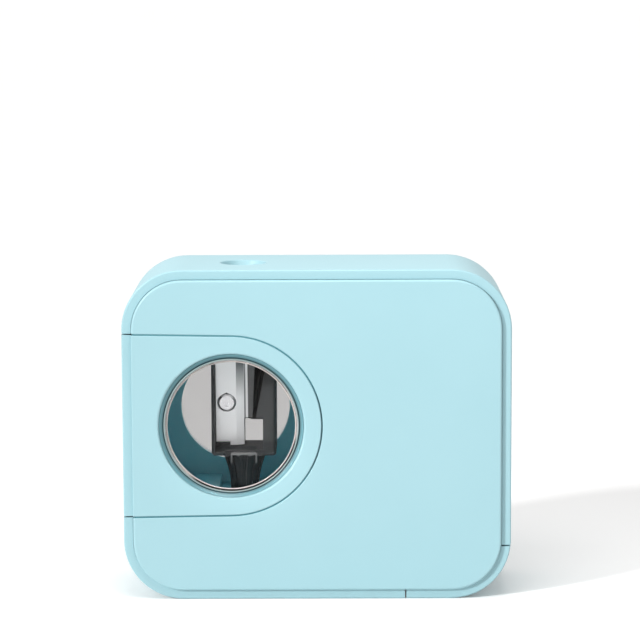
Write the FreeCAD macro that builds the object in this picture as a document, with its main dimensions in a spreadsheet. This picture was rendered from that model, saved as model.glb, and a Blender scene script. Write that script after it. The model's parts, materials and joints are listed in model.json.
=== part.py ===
import FreeCAD, Part
import math
import os
import Sketcher

# A battery pencil sharpener: a rounded box with a pencil hole on top, a windowed shavings drawer on the left,
# a motor-driven cutter behind the window, and two round cells behind a corner door on the right.
# Millimetres. X runs to the right, Y to the back and Z up, and the origin is under the middle of the box.

SIZES = {
    # Shell
    "ring_wall": 2.0,
    "corner_radius": 13.0,
    "ring_edge_round": 0.35,
    "panel_thickness": 1.6,
    "panel_raise": 1.0,
    "panel_gap": 0.1,
    "panel_edge_round": 0.5,
    "ledge_width": 0.6,
    "ledge_thickness": 1.2,
    "seam_gap": 0.32,
    "seam_edge_round": 0.2,
    # Bosses and screws that join the two panels
    "boss_radius": 2.45,
    "boss_inset": 4.5,
    "boss_gap": 0.1,
    "post_gap": 0.25,
    "post_rise": 0.9,
    "screw_radius": 0.9,
    "screw_hole_gap": 0.2,
    "screw_head_radius": 1.55,
    "screw_head_height": 1.0,
    "screw_head_gap": 0.15,
    "case_screw_grip": 7.0,
    "case_screw_seat": 3.5,
    # Pencil entry
    "guide_bore_radius": 4.2,
    "guide_wall": 2.0,
    "guide_height": 10.02,
    "mouth_radius": 5.05,
    "mouth_edge_round": 0.3,
    "spigot_wall": 1.0,
    # Drawer and its windows
    "window_inset": 23.5,
    "drawer_end_radius": 19.45,
    "drawer_draft": 0.9,
    "drawer_wall": 1.6,
    "drawer_face": 2.6,
    "window_radius": 14.2,
    "rear_window_radius": 12.2,
    "window_edge_round": 0.5,
    "bezel_width": 1.4,
    "bezel_gap": 0.05,
    "bezel_recess": 0.35,
    "bezel_round": 1.1,
    "lens_recess": 1.5,
    "lens_gap": 0.1,
    "lens_flange_width": 1.2,
    "lens_flange_thickness": 1.0,
    "lens_edge_round": 0.3,
    "passage_gap": 0.7,
    # Cutter
    "holder_width": 14.2,
    "holder_thickness": 11.2,
    "holder_edge_round": 0.8,
    "collar_radius": 6.6,
    "collar_height": 3.3,
    "collar_gap": 0.9,
    "holder_bore_radius": 4.3,
    "cone_angle": 11.5,
    "cone_tip_radius": 0.7,
    "cone_drop": 3.5,
    "chip_slot_foot": 2.7,
    "chip_slot_head": 5.8,
    "outlet_width": 4.2,
    "outlet_lift": 1.6,
    "outlet_height": 7.0,
    "outlet_step": 1.3,
    "blade_width": 6.2,
    "blade_length": 21.75,
    "blade_thickness": 0.6,
    "blade_bevel": 1.7,
    "blade_lift": 1.85,
    "blade_gap": 0.1,
    "edge_width": 0.85,
    "edge_lift": 6.65,
    "stop_width": 3.1,
    "stop_height": 0.85,
    "stop_thickness": 0.9,
    "stop_root": 1.0,
    "blade_screw_inset": 3.8,
    "blade_screw_lift": 9.95,
    "blade_screw_radius": 1.1,
    "blade_screw_length": 2.4,
    "blade_screw_head_radius": 2.0,
    "blade_screw_head_height": 0.8,
    # Drive coupling and spindle
    "coupling_height": 11.75,
    "coupling_top_radius": 4.5,
    "coupling_shank_radius": 2.9,
    "coupling_taper": 7.0,
    "flute_count": 12,
    "flute_width": 0.8,
    "flute_depth": 0.6,
    "tenon_radius": 2.2,
    "tenon_height": 1.0,
    "spindle_flats": 4.2,
    "spindle_grip": 8.5,
    "spindle_tail": 0.3,
    "plunge": 0.8,
    "clip_thickness": 0.6,
    "clip_radius": 3.4,
    "clip_neck_radius": 1.7,
    "spring_length": 3.3,
    "spring_radius": 2.68,
    "spring_wire_radius": 0.18,
    "spring_turns": 3,
    # Gears
    "gear_module": 0.5,
    "output_teeth": 46,
    "idler_pinion_teeth": 12,
    "wheel_teeth": 40,
    "motor_pinion_teeth": 10,
    "pressure_angle": 25.0,
    "tooth_addendum": 0.8,
    "tooth_dedendum": 1.0,
    "tooth_backlash": 0.1,
    "gear_face": 3.0,
    "wheel_face": 2.2,
    "gear_step": 0.4,
    "hub_radius": 3.3,
    "hub_height": 1.2,
    "hex_gap": 0.1,
    "running_gap": 0.05,
    "thrust_gap": 0.1,
    "axle_radius": 1.0,
    "axle_boss_radius": 2.2,
    "pedestal_radius": 6.6,
    "pedestal_wall": 1.4,
    "pedestal_depth": 0.6,
    # Gearbox
    "base_thickness": 1.5,
    "cover_thickness": 1.6,
    "cover_rise": 1.0,
    "gear_clear": 1.0,
    "pillar_radius": 2.2,
    "gearbox_screw_grip": 5.0,
    "bush_wall": 1.25,
    "bush_flange_width": 0.7,
    "bush_flange_thickness": 0.8,
    # Start switch
    "switch_width": 6.0,
    "switch_height": 2.6,
    "button_radius": 1.7,
    "button_stand": 0.9,
    "button_depth": 1.0,
    "touch_gap": 0.05,
    # Motor
    "motor_diameter": 20.1,
    "motor_flats": 15.1,
    "motor_length": 25.0,
    "motor_wall": 0.8,
    "motor_gap": 0.2,
    "motor_boss_radius": 3.05,
    "motor_boss_height": 1.4,
    "motor_shaft_radius": 1.0,
    "motor_pinion_face": 3.4,
    "rotor_air_gap": 0.6,
    "rotor_length": 10.0,
    "rotor_lift": 5.0,
    "commutator_radius": 2.3,
    "commutator_length": 4.0,
    "magnet_thickness": 2.2,
    "magnet_length": 14.0,
    "end_cap_height": 2.0,
    "terminal_width": 2.2,
    "terminal_thickness": 0.4,
    "terminal_height": 3.0,
    # Cells and contacts
    "cell_diameter": 14.2,
    "cell_length": 50.5,
    "cell_edge_round": 0.6,
    "cell_nub_radius": 2.75,
    "cell_nub_height": 1.3,
    "cell_gap": 0.2,
    "cell_lift": 2.0,
    "contact_thickness": 0.4,
    "contact_width": 9.0,
    "contact_bump_radius": 2.4,
    "contact_height": 3.2,
    "battery_spring_radius": 3.2,
    "battery_spring_wire_radius": 0.3,
    "battery_spring_turns": 2,
    # Battery door
    "door_height": 11.85,
    "door_margin": 0.35,
    "tongue_length": 2.5,
    "tongue_width": 18.0,
    "tongue_thickness": 1.2,
    "tongue_gap": 0.1,
    "door_pad_height": 0.6,
    "door_strip_width": 5.0,
    "grip_count": 4,
    "grip_width": 0.9,
    "grip_pitch": 1.9,
    "grip_depth": 0.4,
    # Chassis
    "deck_thickness": 1.6,
    "partition_wall": 1.4,
    "partition_gap": 0.5,
    "battery_wall": 1.2,
    "chassis_gap": 0.1,
    "strap_thickness": 1.6,
    "strap_width": 7.0,
    "strap_gap": 0.2,
}

# Places worked out from the sizes: cells set the depth, drive and cells the width, the drawer the height
LAYOUT = {
    "panel_back": "Sizes.cell_diameter + Sizes.cell_gap / 2 + Sizes.chassis_gap",
    "panel_face": "Layout.panel_back + Sizes.panel_thickness",
    "ring_face": "Layout.panel_face - Sizes.panel_raise",
    "panel_inset": "Sizes.ring_wall + Sizes.panel_gap",
    "output_spacing": "Sizes.gear_module * (Sizes.output_teeth + Sizes.idler_pinion_teeth) / 2",
    "motor_spacing": "Sizes.gear_module * (Sizes.wheel_teeth + Sizes.motor_pinion_teeth) / 2",
    "partition_side": "Sizes.partition_gap + Sizes.partition_wall + Sizes.partition_gap",
    "drawer_reach": "Sizes.window_inset + Sizes.drawer_end_radius",
    "motor_reach": "Layout.drawer_reach + Layout.partition_side + Sizes.motor_flats / 2",
    "motor_side": "Sizes.motor_flats / 2 + Sizes.motor_gap",
    "cell_side": "Sizes.battery_wall + Sizes.chassis_gap + Sizes.cell_diameter",
    "post_ledge": "Sizes.ledge_width + Sizes.ring_wall",
    "post_side": "Sizes.post_gap + 2 * Sizes.boss_radius + Sizes.boss_gap + Layout.post_ledge",
    "case_width": "Layout.motor_reach + Layout.motor_side + Layout.cell_side + Layout.post_side",
    "left_face": "-Layout.case_width / 2",
    "right_face": "Layout.case_width / 2",
    "window_x": "Layout.left_face + Sizes.window_inset",
    "motor_x": "Layout.left_face + Layout.motor_reach",
    "idler_x": "Layout.motor_x - Layout.motor_spacing",
    "cutter_x": "Layout.idler_x - Layout.output_spacing",
    "battery_wall_x": "Layout.motor_x + Layout.motor_side",
    "cell_x": "Layout.battery_wall_x + Layout.cell_side - Sizes.cell_diameter / 2",
    "cell_y": "(Sizes.cell_diameter + Sizes.cell_gap) / 2",
    "door_x": "Layout.battery_wall_x + Sizes.door_margin",
    "base_top": "Sizes.ring_wall + Sizes.base_thickness",
    "switch_top": "Layout.base_top + Sizes.switch_height",
    "button_top": "Layout.switch_top + Sizes.button_stand",
    "spindle_bottom": "Layout.button_top + Sizes.touch_gap",
    "clip_bottom": "Layout.spindle_bottom + Sizes.spindle_tail",
    "clip_top": "Layout.clip_bottom + Sizes.clip_thickness",
    "output_bottom": "Layout.clip_top + Sizes.touch_gap",
    "output_top": "Layout.output_bottom + Sizes.gear_face",
    "hub_top": "Layout.output_top + Sizes.hub_height",
    "wheel_bottom": "Layout.output_top + Sizes.gear_step",
    "wheel_top": "Layout.wheel_bottom + Sizes.wheel_face",
    "coupling_bottom": "Layout.hub_top + Sizes.spring_length",
    "cover_bottom": "max(Layout.coupling_bottom; Layout.wheel_top) + Sizes.cover_rise",
    "cover_top": "Layout.cover_bottom + Sizes.cover_thickness",
    "draft_rise": "Sizes.window_inset * tan(Sizes.drawer_draft * 1 deg)",
    "drawer_half": "Sizes.drawer_end_radius / cos(Sizes.drawer_draft * 1 deg) + Layout.draft_rise",
    "drawer_z": "Layout.cover_top + Sizes.seam_gap + Layout.drawer_half",
    "drawer_end": "Layout.window_x + Sizes.drawer_end_radius",
    "drawer_top": "Layout.drawer_z + Layout.drawer_half",
    "drawer_back": "Layout.panel_face - Sizes.drawer_face",
    "cell_bottom": "Sizes.ring_wall + Sizes.cell_lift",
    "cell_top": "Layout.cell_bottom + Sizes.cell_length",
    "deck_bottom": "max(Layout.drawer_top + Sizes.seam_gap; Layout.cell_top + Sizes.contact_height)",
    "deck_top": "Layout.deck_bottom + Sizes.deck_thickness",
    "ceiling": "Layout.deck_top + Sizes.guide_height",
    "case_height": "Layout.ceiling + Sizes.ring_wall",
    "middle_z": "Layout.case_height / 2",
    "inner_left": "Layout.left_face + Sizes.ring_wall + Sizes.ledge_width + Sizes.chassis_gap",
    "base_depth": "Layout.panel_back - Sizes.ledge_thickness - 2 * Sizes.chassis_gap",
    "frame_depth": "Layout.panel_back - Sizes.chassis_gap",
    "output_tip": "Sizes.gear_module * (Sizes.output_teeth / 2 + Sizes.tooth_addendum)",
    "corner_left": "Layout.left_face + Sizes.corner_radius",
    "base_left": "max(Layout.cutter_x - Layout.output_tip - Sizes.gear_clear; Layout.corner_left)",
    "base_right": "Layout.door_x - Sizes.tongue_length - Sizes.post_gap",
    "pillar_left": "Layout.base_left + Sizes.pillar_radius + Sizes.boss_gap",
    "pillar_right": "Layout.base_right - Sizes.pillar_radius - Sizes.boss_gap",
    "pillar_y": "Layout.base_depth - Sizes.pillar_radius",
    "holder_bottom": "Layout.cover_top + Sizes.coupling_height",
    "collar_top": "Layout.deck_bottom - Sizes.collar_gap",
    "holder_top": "Layout.collar_top - Sizes.collar_height",
    "cone_top": "Layout.holder_top - Sizes.cone_drop",
    "cone_slope": "tan(Sizes.cone_angle * 1 deg)",
    "cone_length": "(Sizes.holder_bore_radius - Sizes.cone_tip_radius) / Layout.cone_slope",
    "cone_bottom": "Layout.cone_top - Layout.cone_length",
    "blade_bottom": "Layout.holder_bottom + Sizes.blade_lift",
    "blade_y": "-Sizes.cone_tip_radius - (Layout.blade_bottom - Layout.cone_bottom) * Layout.cone_slope",
    "swing_radius": "sqrt(Sizes.holder_width ^ 2 + Sizes.holder_thickness ^ 2) / 2",
    "passage_half": "Layout.swing_radius + Sizes.passage_gap",
    "slot_half": "Sizes.coupling_top_radius + Sizes.passage_gap",
    "passage_foot": "Layout.holder_bottom - Sizes.plunge - Sizes.passage_gap",
    "bush_bore": "Sizes.coupling_shank_radius + Sizes.running_gap",
    "bush_radius": "Layout.bush_bore + Sizes.bush_wall",
    "spindle_corner": "Sizes.spindle_flats / 2 / cos(30 deg)",
    "spindle_top": "Layout.coupling_bottom + Sizes.spindle_grip",
    "end_cap_bottom": "Layout.cover_top + Sizes.motor_length",
    "end_cap_top": "Layout.end_cap_bottom + Sizes.end_cap_height",
    "strap_bottom": "Layout.end_cap_top + Sizes.strap_gap",
    "motor_pinion_bottom": "Layout.wheel_bottom - Sizes.gear_step",
    "post_left_x": "Layout.left_face + Sizes.ring_wall + Sizes.boss_inset",
    "post_right_x": "Layout.right_face - Sizes.ring_wall - Sizes.boss_inset",
    "post_door_x": "Layout.cell_x + Sizes.cell_diameter / 2 + Sizes.post_gap + Sizes.boss_radius",
    "post_low_z": "(Sizes.ring_wall + Layout.cover_bottom) / 2",
    "post_high_z": "Layout.deck_top + Sizes.post_rise + Sizes.boss_radius",
    "post_door_z": "Sizes.door_height + Sizes.post_rise + Sizes.boss_radius",
}

doc = FreeCAD.newDocument("battery_pencil_sharpener")

sheet = doc.addObject("Spreadsheet::Sheet", "Sizes")
for row, (alias, value) in enumerate(SIZES.items(), start=1):
    sheet.set(f"A{row}", str(value))
    sheet.setAlias(f"A{row}", alias)
doc.recompute()

layout = doc.addObject("App::VarSet", "Layout")
for name, expression in LAYOUT.items():
    layout.addProperty("App::PropertyFloat", name, "Layout", "")
    layout.setExpression(name, expression)
doc.recompute()

pieces = []
MARGIN = "1"
UPRIGHT = FreeCAD.Rotation()
TURNS = {
    "X": FreeCAD.Rotation(FreeCAD.Vector(0, 1, 0), 90),
    "Y": FreeCAD.Rotation(FreeCAD.Vector(1, 0, 0), -90),
    "Z": UPRIGHT,
}


def value_of(expression):
    """The number that an expression over the sizes gives now."""
    return float(layout.evalExpression(str(expression)))


def new_body(label, x="0", several=False):
    """An empty body that is written out as one piece, with its own axis at the given X."""
    body = doc.addObject("PartDesign::Body", label)
    body.Label = label
    body.AllowCompound = several
    body.setExpression("Placement.Base.x", x)
    pieces.append(body)
    return body


def new_shape(label, shape, x="0"):
    """A piece whose shape comes from a formula, with its own axis at the given X."""
    feature = doc.addObject("Part::Feature", label)
    feature.Label = label
    feature.Shape = shape
    feature.setExpression("Placement.Base.x", x)
    pieces.append(feature)
    return feature


def primitive(body, kind, sizes, position, turn=UPRIGHT):
    """One additive or subtractive solid in a body, bound to the sizes."""
    feature = body.newObject(f"PartDesign::{kind}", f"{body.Label}_{kind}")
    feature.Placement = FreeCAD.Placement(FreeCAD.Vector(), turn)
    for name, expression in sizes.items():
        feature.setExpression(name, expression)
    for axis, expression in zip("xyz", position):
        feature.setExpression(f"Placement.Base.{axis}", expression)
    return feature


def box(body, mode, x, y, z):
    """A box between pairs of X, Y and Z places."""
    sizes = {
        "Length": f"({x[1]}) - ({x[0]})",
        "Width": f"({y[1]}) - ({y[0]})",
        "Height": f"({z[1]}) - ({z[0]})",
    }
    return primitive(body, f"{mode}Box", sizes, (x[0], y[0], z[0]))


def axis_position(axis, centre, start):
    """The three coordinates of a point at start along an axis through a centre in the other two."""
    position = list(centre)
    position.insert("XYZ".index(axis), start)
    return position


def cylinder(body, mode, axis, centre, radius, span):
    """A cylinder along an axis between a pair of places."""
    sizes = {"Radius": radius, "Height": f"({span[1]}) - ({span[0]})"}
    position = axis_position(axis, centre, span[0])
    return primitive(body, f"{mode}Cylinder", sizes, position, TURNS[axis])


def cone(body, mode, axis, centre, radii, span):
    """A cone along an axis, with its radius at the start and the end of a pair of places."""
    sizes = {"Radius1": radii[0], "Radius2": radii[1], "Height": f"({span[1]}) - ({span[0]})"}
    position = axis_position(axis, centre, span[0])
    return primitive(body, f"{mode}Cone", sizes, position, TURNS[axis])


def hexagon(body, mode, corner, span):
    """A six-sided bar on the body's own axis."""
    sizes = {"Circumradius": corner, "Height": f"({span[1]}) - ({span[0]})"}
    return primitive(body, f"{mode}Prism", sizes, ("0", "0", span[0]))


def symmetric(half):
    """A pair of places the same distance either side of the middle."""
    return (f"-({half})", half)


def front_sketch(body, x, z, front="0"):
    """A sketch seen from the front, with its origin at X and Z, a given distance in front of the middle."""
    sketch = body.newObject("Sketcher::SketchObject", f"{body.Label}_outline")
    plane = next(item for item in body.Origin.OriginFeatures if item.Role == "XZ_Plane")
    sketch.AttachmentSupport = [(plane, "")]
    sketch.MapMode = "FlatFace"
    for axis, expression in zip("xyz", (x, z, front)):
        sketch.setExpression(f"AttachmentOffset.Base.{axis}", expression)
    return sketch


def bind(sketch, name, constraint, expression):
    """Adds a constraint with a name and ties it to the sizes."""
    index = sketch.addConstraint(constraint)
    sketch.renameConstraint(index, name)
    sketch.setExpression(f"Constraints.{name}", expression)


def arc(centre_x, centre_y, radius, start, end):
    """An arc in a sketch, between two angles in degrees."""
    circle = Part.Circle(FreeCAD.Vector(centre_x, centre_y, 0), FreeCAD.Vector(0, 0, 1), radius)
    return Part.ArcOfCircle(circle, math.radians(start), math.radians(end))


def line(start, end):
    """A straight line in a sketch."""
    return Part.LineSegment(FreeCAD.Vector(*start, 0), FreeCAD.Vector(*end, 0))


def rounded_rectangle(sketch, name, width, height, radius):
    """A rectangle with round corners about the sketch's origin."""
    a = value_of(width) / 2
    b = value_of(height) / 2
    r = value_of(radius)
    first = sketch.GeometryCount
    bottom, right, top, left = range(first, first + 4)
    sketch.addGeometry(line((r - a, -b), (a - r, -b)))
    sketch.addGeometry(line((a, r - b), (a, b - r)))
    sketch.addGeometry(line((a - r, b), (r - a, b)))
    sketch.addGeometry(line((-a, b - r), (-a, r - b)))
    corners = range(first + 4, first + 8)
    sketch.addGeometry(arc(a - r, r - b, r, -90, 0))
    sketch.addGeometry(arc(a - r, b - r, r, 0, 90))
    sketch.addGeometry(arc(r - a, b - r, r, 90, 180))
    sketch.addGeometry(arc(r - a, r - b, r, 180, 270))
    sides = (bottom, right, top, left)
    for index, corner in enumerate(corners):
        sketch.addConstraint(Sketcher.Constraint("Tangent", sides[index], 2, corner, 1))
        sketch.addConstraint(Sketcher.Constraint("Tangent", corner, 2, sides[(index + 1) % 4], 1))
        if index:
            sketch.addConstraint(Sketcher.Constraint("Equal", corners[0], corner))
    for side in (bottom, top):
        sketch.addConstraint(Sketcher.Constraint("Horizontal", side))
    for side in (left, right):
        sketch.addConstraint(Sketcher.Constraint("Vertical", side))
    bind(sketch, f"{name}_radius", Sketcher.Constraint("Radius", corners[0], r), radius)
    bind(sketch, f"{name}_right", Sketcher.Constraint("DistanceX", -1, 1, right, 1, a), f"({width}) / 2")
    bind(sketch, f"{name}_left", Sketcher.Constraint("DistanceX", left, 1, -1, 1, a), f"({width}) / 2")
    bind(sketch, f"{name}_top", Sketcher.Constraint("DistanceY", -1, 1, top, 1, b), f"({height}) / 2")
    bind(sketch, f"{name}_bottom", Sketcher.Constraint("DistanceY", bottom, 1, -1, 1, b), f"({height}) / 2")


def drawer_outline(sketch, grow, reach):
    """The drawer's outline about the window: a round right end and two sides that spread to the left."""
    draft = math.radians(SIZES["drawer_draft"])
    radius = f"(Sizes.drawer_end_radius + {grow})"
    half = f"({radius} / cos(Sizes.drawer_draft * 1 deg) + ({reach}) * tan(Sizes.drawer_draft * 1 deg))"
    r = value_of(radius)
    left = -value_of(reach)
    top = value_of(half)
    touch_x = r * math.sin(draft)
    touch_y = r * math.cos(draft)
    end_arc, top_side, left_side, bottom_side = range(4)
    sketch.addGeometry(arc(0, 0, r, math.degrees(draft) - 90, 90 - math.degrees(draft)))
    sketch.addGeometry(line((touch_x, touch_y), (left, top)))
    sketch.addGeometry(line((left, top), (left, -top)))
    sketch.addGeometry(line((left, -top), (touch_x, -touch_y)))
    sketch.addConstraint(Sketcher.Constraint("Coincident", end_arc, 3, -1, 1))
    sketch.addConstraint(Sketcher.Constraint("Tangent", end_arc, 2, top_side, 1))
    sketch.addConstraint(Sketcher.Constraint("Tangent", bottom_side, 2, end_arc, 1))
    sketch.addConstraint(Sketcher.Constraint("Coincident", top_side, 2, left_side, 1))
    sketch.addConstraint(Sketcher.Constraint("Coincident", left_side, 2, bottom_side, 1))
    sketch.addConstraint(Sketcher.Constraint("Symmetric", left_side, 1, left_side, 2, -1))
    bind(sketch, "end_radius", Sketcher.Constraint("Radius", end_arc, r), radius)
    bind(sketch, "reach", Sketcher.Constraint("DistanceX", left_side, 1, -1, 1, -left), reach)
    bind(sketch, "spread", Sketcher.Constraint("DistanceY", left_side, 2, left_side, 1, 2 * top),
         f"2 * {half}")


def extrude(body, kind, sketch, length, both_ways=False):
    """A pad or pocket of a sketch, forwards or both ways."""
    feature = body.newObject(f"PartDesign::{kind}", f"{body.Label}_{kind}")
    feature.Profile = sketch
    feature.setExpression("Length", length)
    if both_ways:
        feature.SideType = "Symmetric"
    return feature


def round_edges(body, radius, chosen):
    """Rounds the edges of a body's last feature for which chosen(edge) holds."""
    doc.recompute()
    base = body.Tip
    names = [f"Edge{i}" for i, edge in enumerate(base.Shape.Edges, start=1) if chosen(edge)]
    feature = body.newObject("PartDesign::Fillet", f"{body.Label}_round")
    feature.Base = (base, names)
    feature.setExpression("Radius", radius)
    return feature


def lies_at_depth(edge, depth):
    """Whether an edge lies wholly in the plane at one depth."""
    bounds = edge.BoundBox
    return abs(bounds.YMin - depth) < 1e-4 and abs(bounds.YMax - depth) < 1e-4


# Shell

def ring_band(body):
    """The band that makes the box's sides."""
    section = front_sketch(body, "0", "Layout.middle_z")
    rounded_rectangle(section, "outer", "Layout.case_width", "Layout.case_height", "Sizes.corner_radius")
    inner_width = "Layout.case_width - 2 * Sizes.ring_wall"
    inner_height = "Layout.case_height - 2 * Sizes.ring_wall"
    rounded_rectangle(section, "inner", inner_width, inner_height, "Sizes.corner_radius - Sizes.ring_wall")
    extrude(body, "Pad", section, "2 * Layout.ring_face", both_ways=True)
    doc.recompute()
    depth = value_of("Layout.ring_face")
    outer_half = value_of("Layout.case_width / 2 - Sizes.ring_wall / 2")
    outer_rise = value_of("Layout.middle_z - Sizes.ring_wall / 2")

    def is_outer_rim(edge):
        middle = edge.valueAt((edge.FirstParameter + edge.LastParameter) / 2)
        on_rim = lies_at_depth(edge, depth) or lies_at_depth(edge, -depth)
        corner = value_of("Sizes.corner_radius")
        across = max(abs(middle.x) - outer_half - value_of("Sizes.ring_wall / 2") + corner, 0)
        rise = abs(middle.z - value_of("Layout.middle_z"))
        up = max(rise - outer_rise - value_of("Sizes.ring_wall / 2") + corner, 0)
        return on_rim and math.hypot(across, up) > corner - value_of("Sizes.ring_wall / 2")

    round_edges(body, "Sizes.ring_edge_round", is_outer_rim)


def cut_drawer_opening(body):
    """Cuts the drawer's outline, with its seam, right through from front to back."""
    opening = front_sketch(body, "Layout.window_x", "Layout.drawer_z")
    drawer_outline(opening, "Sizes.seam_gap", f"Sizes.window_inset + {MARGIN}")
    extrude(body, "Pocket", opening, f"2 * Layout.panel_face + {MARGIN}", both_ways=True)


def inset_rectangle(sketch, name, inset):
    """The box's outline drawn in by an inset all round."""
    rounded_rectangle(sketch, name, f"Layout.case_width - 2 * ({inset})",
                      f"Layout.case_height - 2 * ({inset})",
                      f"Sizes.corner_radius - ({inset})")


POSTS = (
    ("Layout.post_left_x", "Layout.post_low_z"),
    ("Layout.post_left_x", "Layout.post_high_z"),
    ("Layout.post_right_x", "Layout.post_high_z"),
    ("Layout.post_door_x", "Layout.post_door_z"),
)


def panel_plate(body, side):
    """A panel's raised plate with the drawer's outline cut out; side is 1 for front, -1 for rear."""
    plate = front_sketch(body, "0", "Layout.middle_z",
                         "Layout.panel_back" if side > 0 else "-Layout.panel_face")
    inset_rectangle(plate, "plate", "Layout.panel_inset")
    extrude(body, "Pad", plate, "Sizes.panel_thickness")
    face = -side * value_of("Layout.panel_face")
    round_edges(body, "Sizes.panel_edge_round", lambda edge: lies_at_depth(edge, face))
    cut_drawer_opening(body)
    end = value_of("Layout.window_x")

    def is_seam(edge):
        return lies_at_depth(edge, face) and edge.BoundBox.XMax > end and edge.BoundBox.XMin < end + 1 \
            and edge.BoundBox.XMax < end + value_of("Sizes.drawer_end_radius") + 1

    round_edges(body, "Sizes.seam_edge_round", is_seam)


front_panel = new_body("front_panel")
panel_plate(front_panel, 1)
for post in POSTS:
    cylinder(front_panel, "Additive", "Y", post, "Sizes.boss_radius",
             ("-Layout.panel_back - Sizes.panel_thickness / 2", "0"))
    cylinder(front_panel, "Subtractive", "Y", post, "Sizes.screw_radius", ("-Sizes.case_screw_grip",
                                                                           MARGIN))

case_body = new_body("case_body")
ring_band(case_body)
ledge = front_sketch(case_body, "0", "Layout.middle_z", "Layout.panel_back - Sizes.ledge_thickness")
inset_rectangle(ledge, "outer", "Sizes.ring_wall / 2")
inset_rectangle(ledge, "inner", "Sizes.ring_wall + Sizes.ledge_width")
extrude(case_body, "Pad", ledge, "Sizes.ledge_thickness")
closing_plate = front_sketch(case_body, "0", "Layout.middle_z", "-Layout.ring_face")
inset_rectangle(closing_plate, "plate", "Sizes.ring_wall / 2")
extrude(case_body, "Pad", closing_plate, "Layout.ring_face - Layout.panel_back")
box(case_body, "Subtractive", ("Layout.door_x", f"Layout.right_face + {MARGIN}"),
    symmetric(f"Layout.ring_face + {MARGIN}"), (f"-{MARGIN}", "Sizes.door_height"))
cone(case_body, "Subtractive", "Z", ("Layout.cutter_x", "0"), ("Sizes.guide_bore_radius",
                                                               "Sizes.mouth_radius"),
     ("Layout.ceiling", "Layout.case_height"))
mouth_top = value_of("Layout.case_height")


def is_mouth_rim(edge):
    return edge.Closed and abs(edge.BoundBox.ZMin - mouth_top) < 1e-4


round_edges(case_body, "Sizes.mouth_edge_round", is_mouth_rim)
panel_plate(case_body, -1)
for post in POSTS:
    cylinder(case_body, "Additive", "Y", post, "Sizes.boss_radius",
             ("Sizes.boss_gap", "Layout.panel_back + Sizes.panel_thickness / 2"))
    cylinder(case_body, "Subtractive", "Y", post, "Sizes.screw_radius + Sizes.screw_hole_gap",
             ("0", f"Layout.panel_face + {MARGIN}"))
    cylinder(case_body, "Subtractive", "Y", post, "Sizes.screw_head_radius + Sizes.screw_head_gap",
             ("Sizes.case_screw_seat", f"Layout.panel_face + {MARGIN}"))

case_screws = new_body("case_screws", several=True)
for post in POSTS:
    seat = "Sizes.case_screw_seat"
    cylinder(case_screws, "Additive", "Y", post, "Sizes.screw_radius", ("-Sizes.case_screw_grip", seat))
    cylinder(case_screws, "Additive", "Y", post, "Sizes.screw_head_radius",
             (seat, f"{seat} + Sizes.screw_head_height"))

guide_axis = ("0", "0")
pencil_guide = new_body("pencil_guide", "Layout.cutter_x")
cylinder(pencil_guide, "Additive", "Z", guide_axis, "Sizes.guide_bore_radius + Sizes.guide_wall",
         ("Layout.deck_top", "Layout.ceiling"))
cylinder(pencil_guide, "Additive", "Z", guide_axis, "Sizes.guide_bore_radius + Sizes.spigot_wall",
         ("Layout.deck_bottom", "Layout.deck_top"))
cylinder(pencil_guide, "Subtractive", "Z", guide_axis, "Sizes.guide_bore_radius",
         (f"Layout.deck_bottom - {MARGIN}", f"Layout.ceiling + {MARGIN}"))

frame_span = symmetric("Layout.frame_depth")
deck_span = ("Layout.deck_bottom", "Layout.deck_top")
partition_x = "Layout.drawer_end + Sizes.partition_gap"
chassis = new_body("chassis")
box(chassis, "Additive", ("Layout.inner_left", "Layout.cell_x + Sizes.cell_diameter / 2"), frame_span,
    deck_span)
box(chassis, "Additive", (partition_x, f"{partition_x} + Sizes.partition_wall"), frame_span,
    ("Layout.cover_top", "Layout.deck_top"))
box(chassis, "Additive", ("Layout.battery_wall_x", "Layout.battery_wall_x + Sizes.battery_wall"),
    frame_span,
    ("Layout.cell_bottom", "Layout.deck_top"))
box(chassis, "Additive", (partition_x, "Layout.battery_wall_x + Sizes.battery_wall"),
    symmetric("Sizes.strap_width / 2"), ("Layout.strap_bottom",
                                         "Layout.strap_bottom + Sizes.strap_thickness"))
cylinder(chassis, "Subtractive", "Z", ("Layout.cutter_x", "0"),
         "Sizes.guide_bore_radius + Sizes.spigot_wall + Sizes.running_gap",
         (f"Layout.deck_bottom - {MARGIN}", f"Layout.deck_top + {MARGIN}"))

# Drawer

drawer = new_body("drawer")
outline = front_sketch(drawer, "Layout.window_x", "Layout.drawer_z")
drawer_outline(outline, "0", "Sizes.window_inset")
extrude(drawer, "Pad", outline, "2 * Layout.ring_face", both_ways=True)
left_face = value_of("Layout.left_face")
ring_face = value_of("Layout.ring_face")


def is_left_rim(edge):
    on_face = lies_at_depth(edge, ring_face) or lies_at_depth(edge, -ring_face)
    return on_face and edge.BoundBox.XMax < left_face + 1e-4


round_edges(drawer, "Sizes.ring_edge_round", is_left_rim)
raised = front_sketch(drawer, "Layout.window_x", "Layout.drawer_z")
drawer_outline(raised, "0", "Sizes.window_inset - Layout.panel_inset")
extrude(drawer, "Pad", raised, "2 * Layout.panel_face", both_ways=True)
panel_face = value_of("Layout.panel_face")


def is_raised_rim(edge):
    return lies_at_depth(edge, panel_face) or lies_at_depth(edge, -panel_face)


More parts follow.
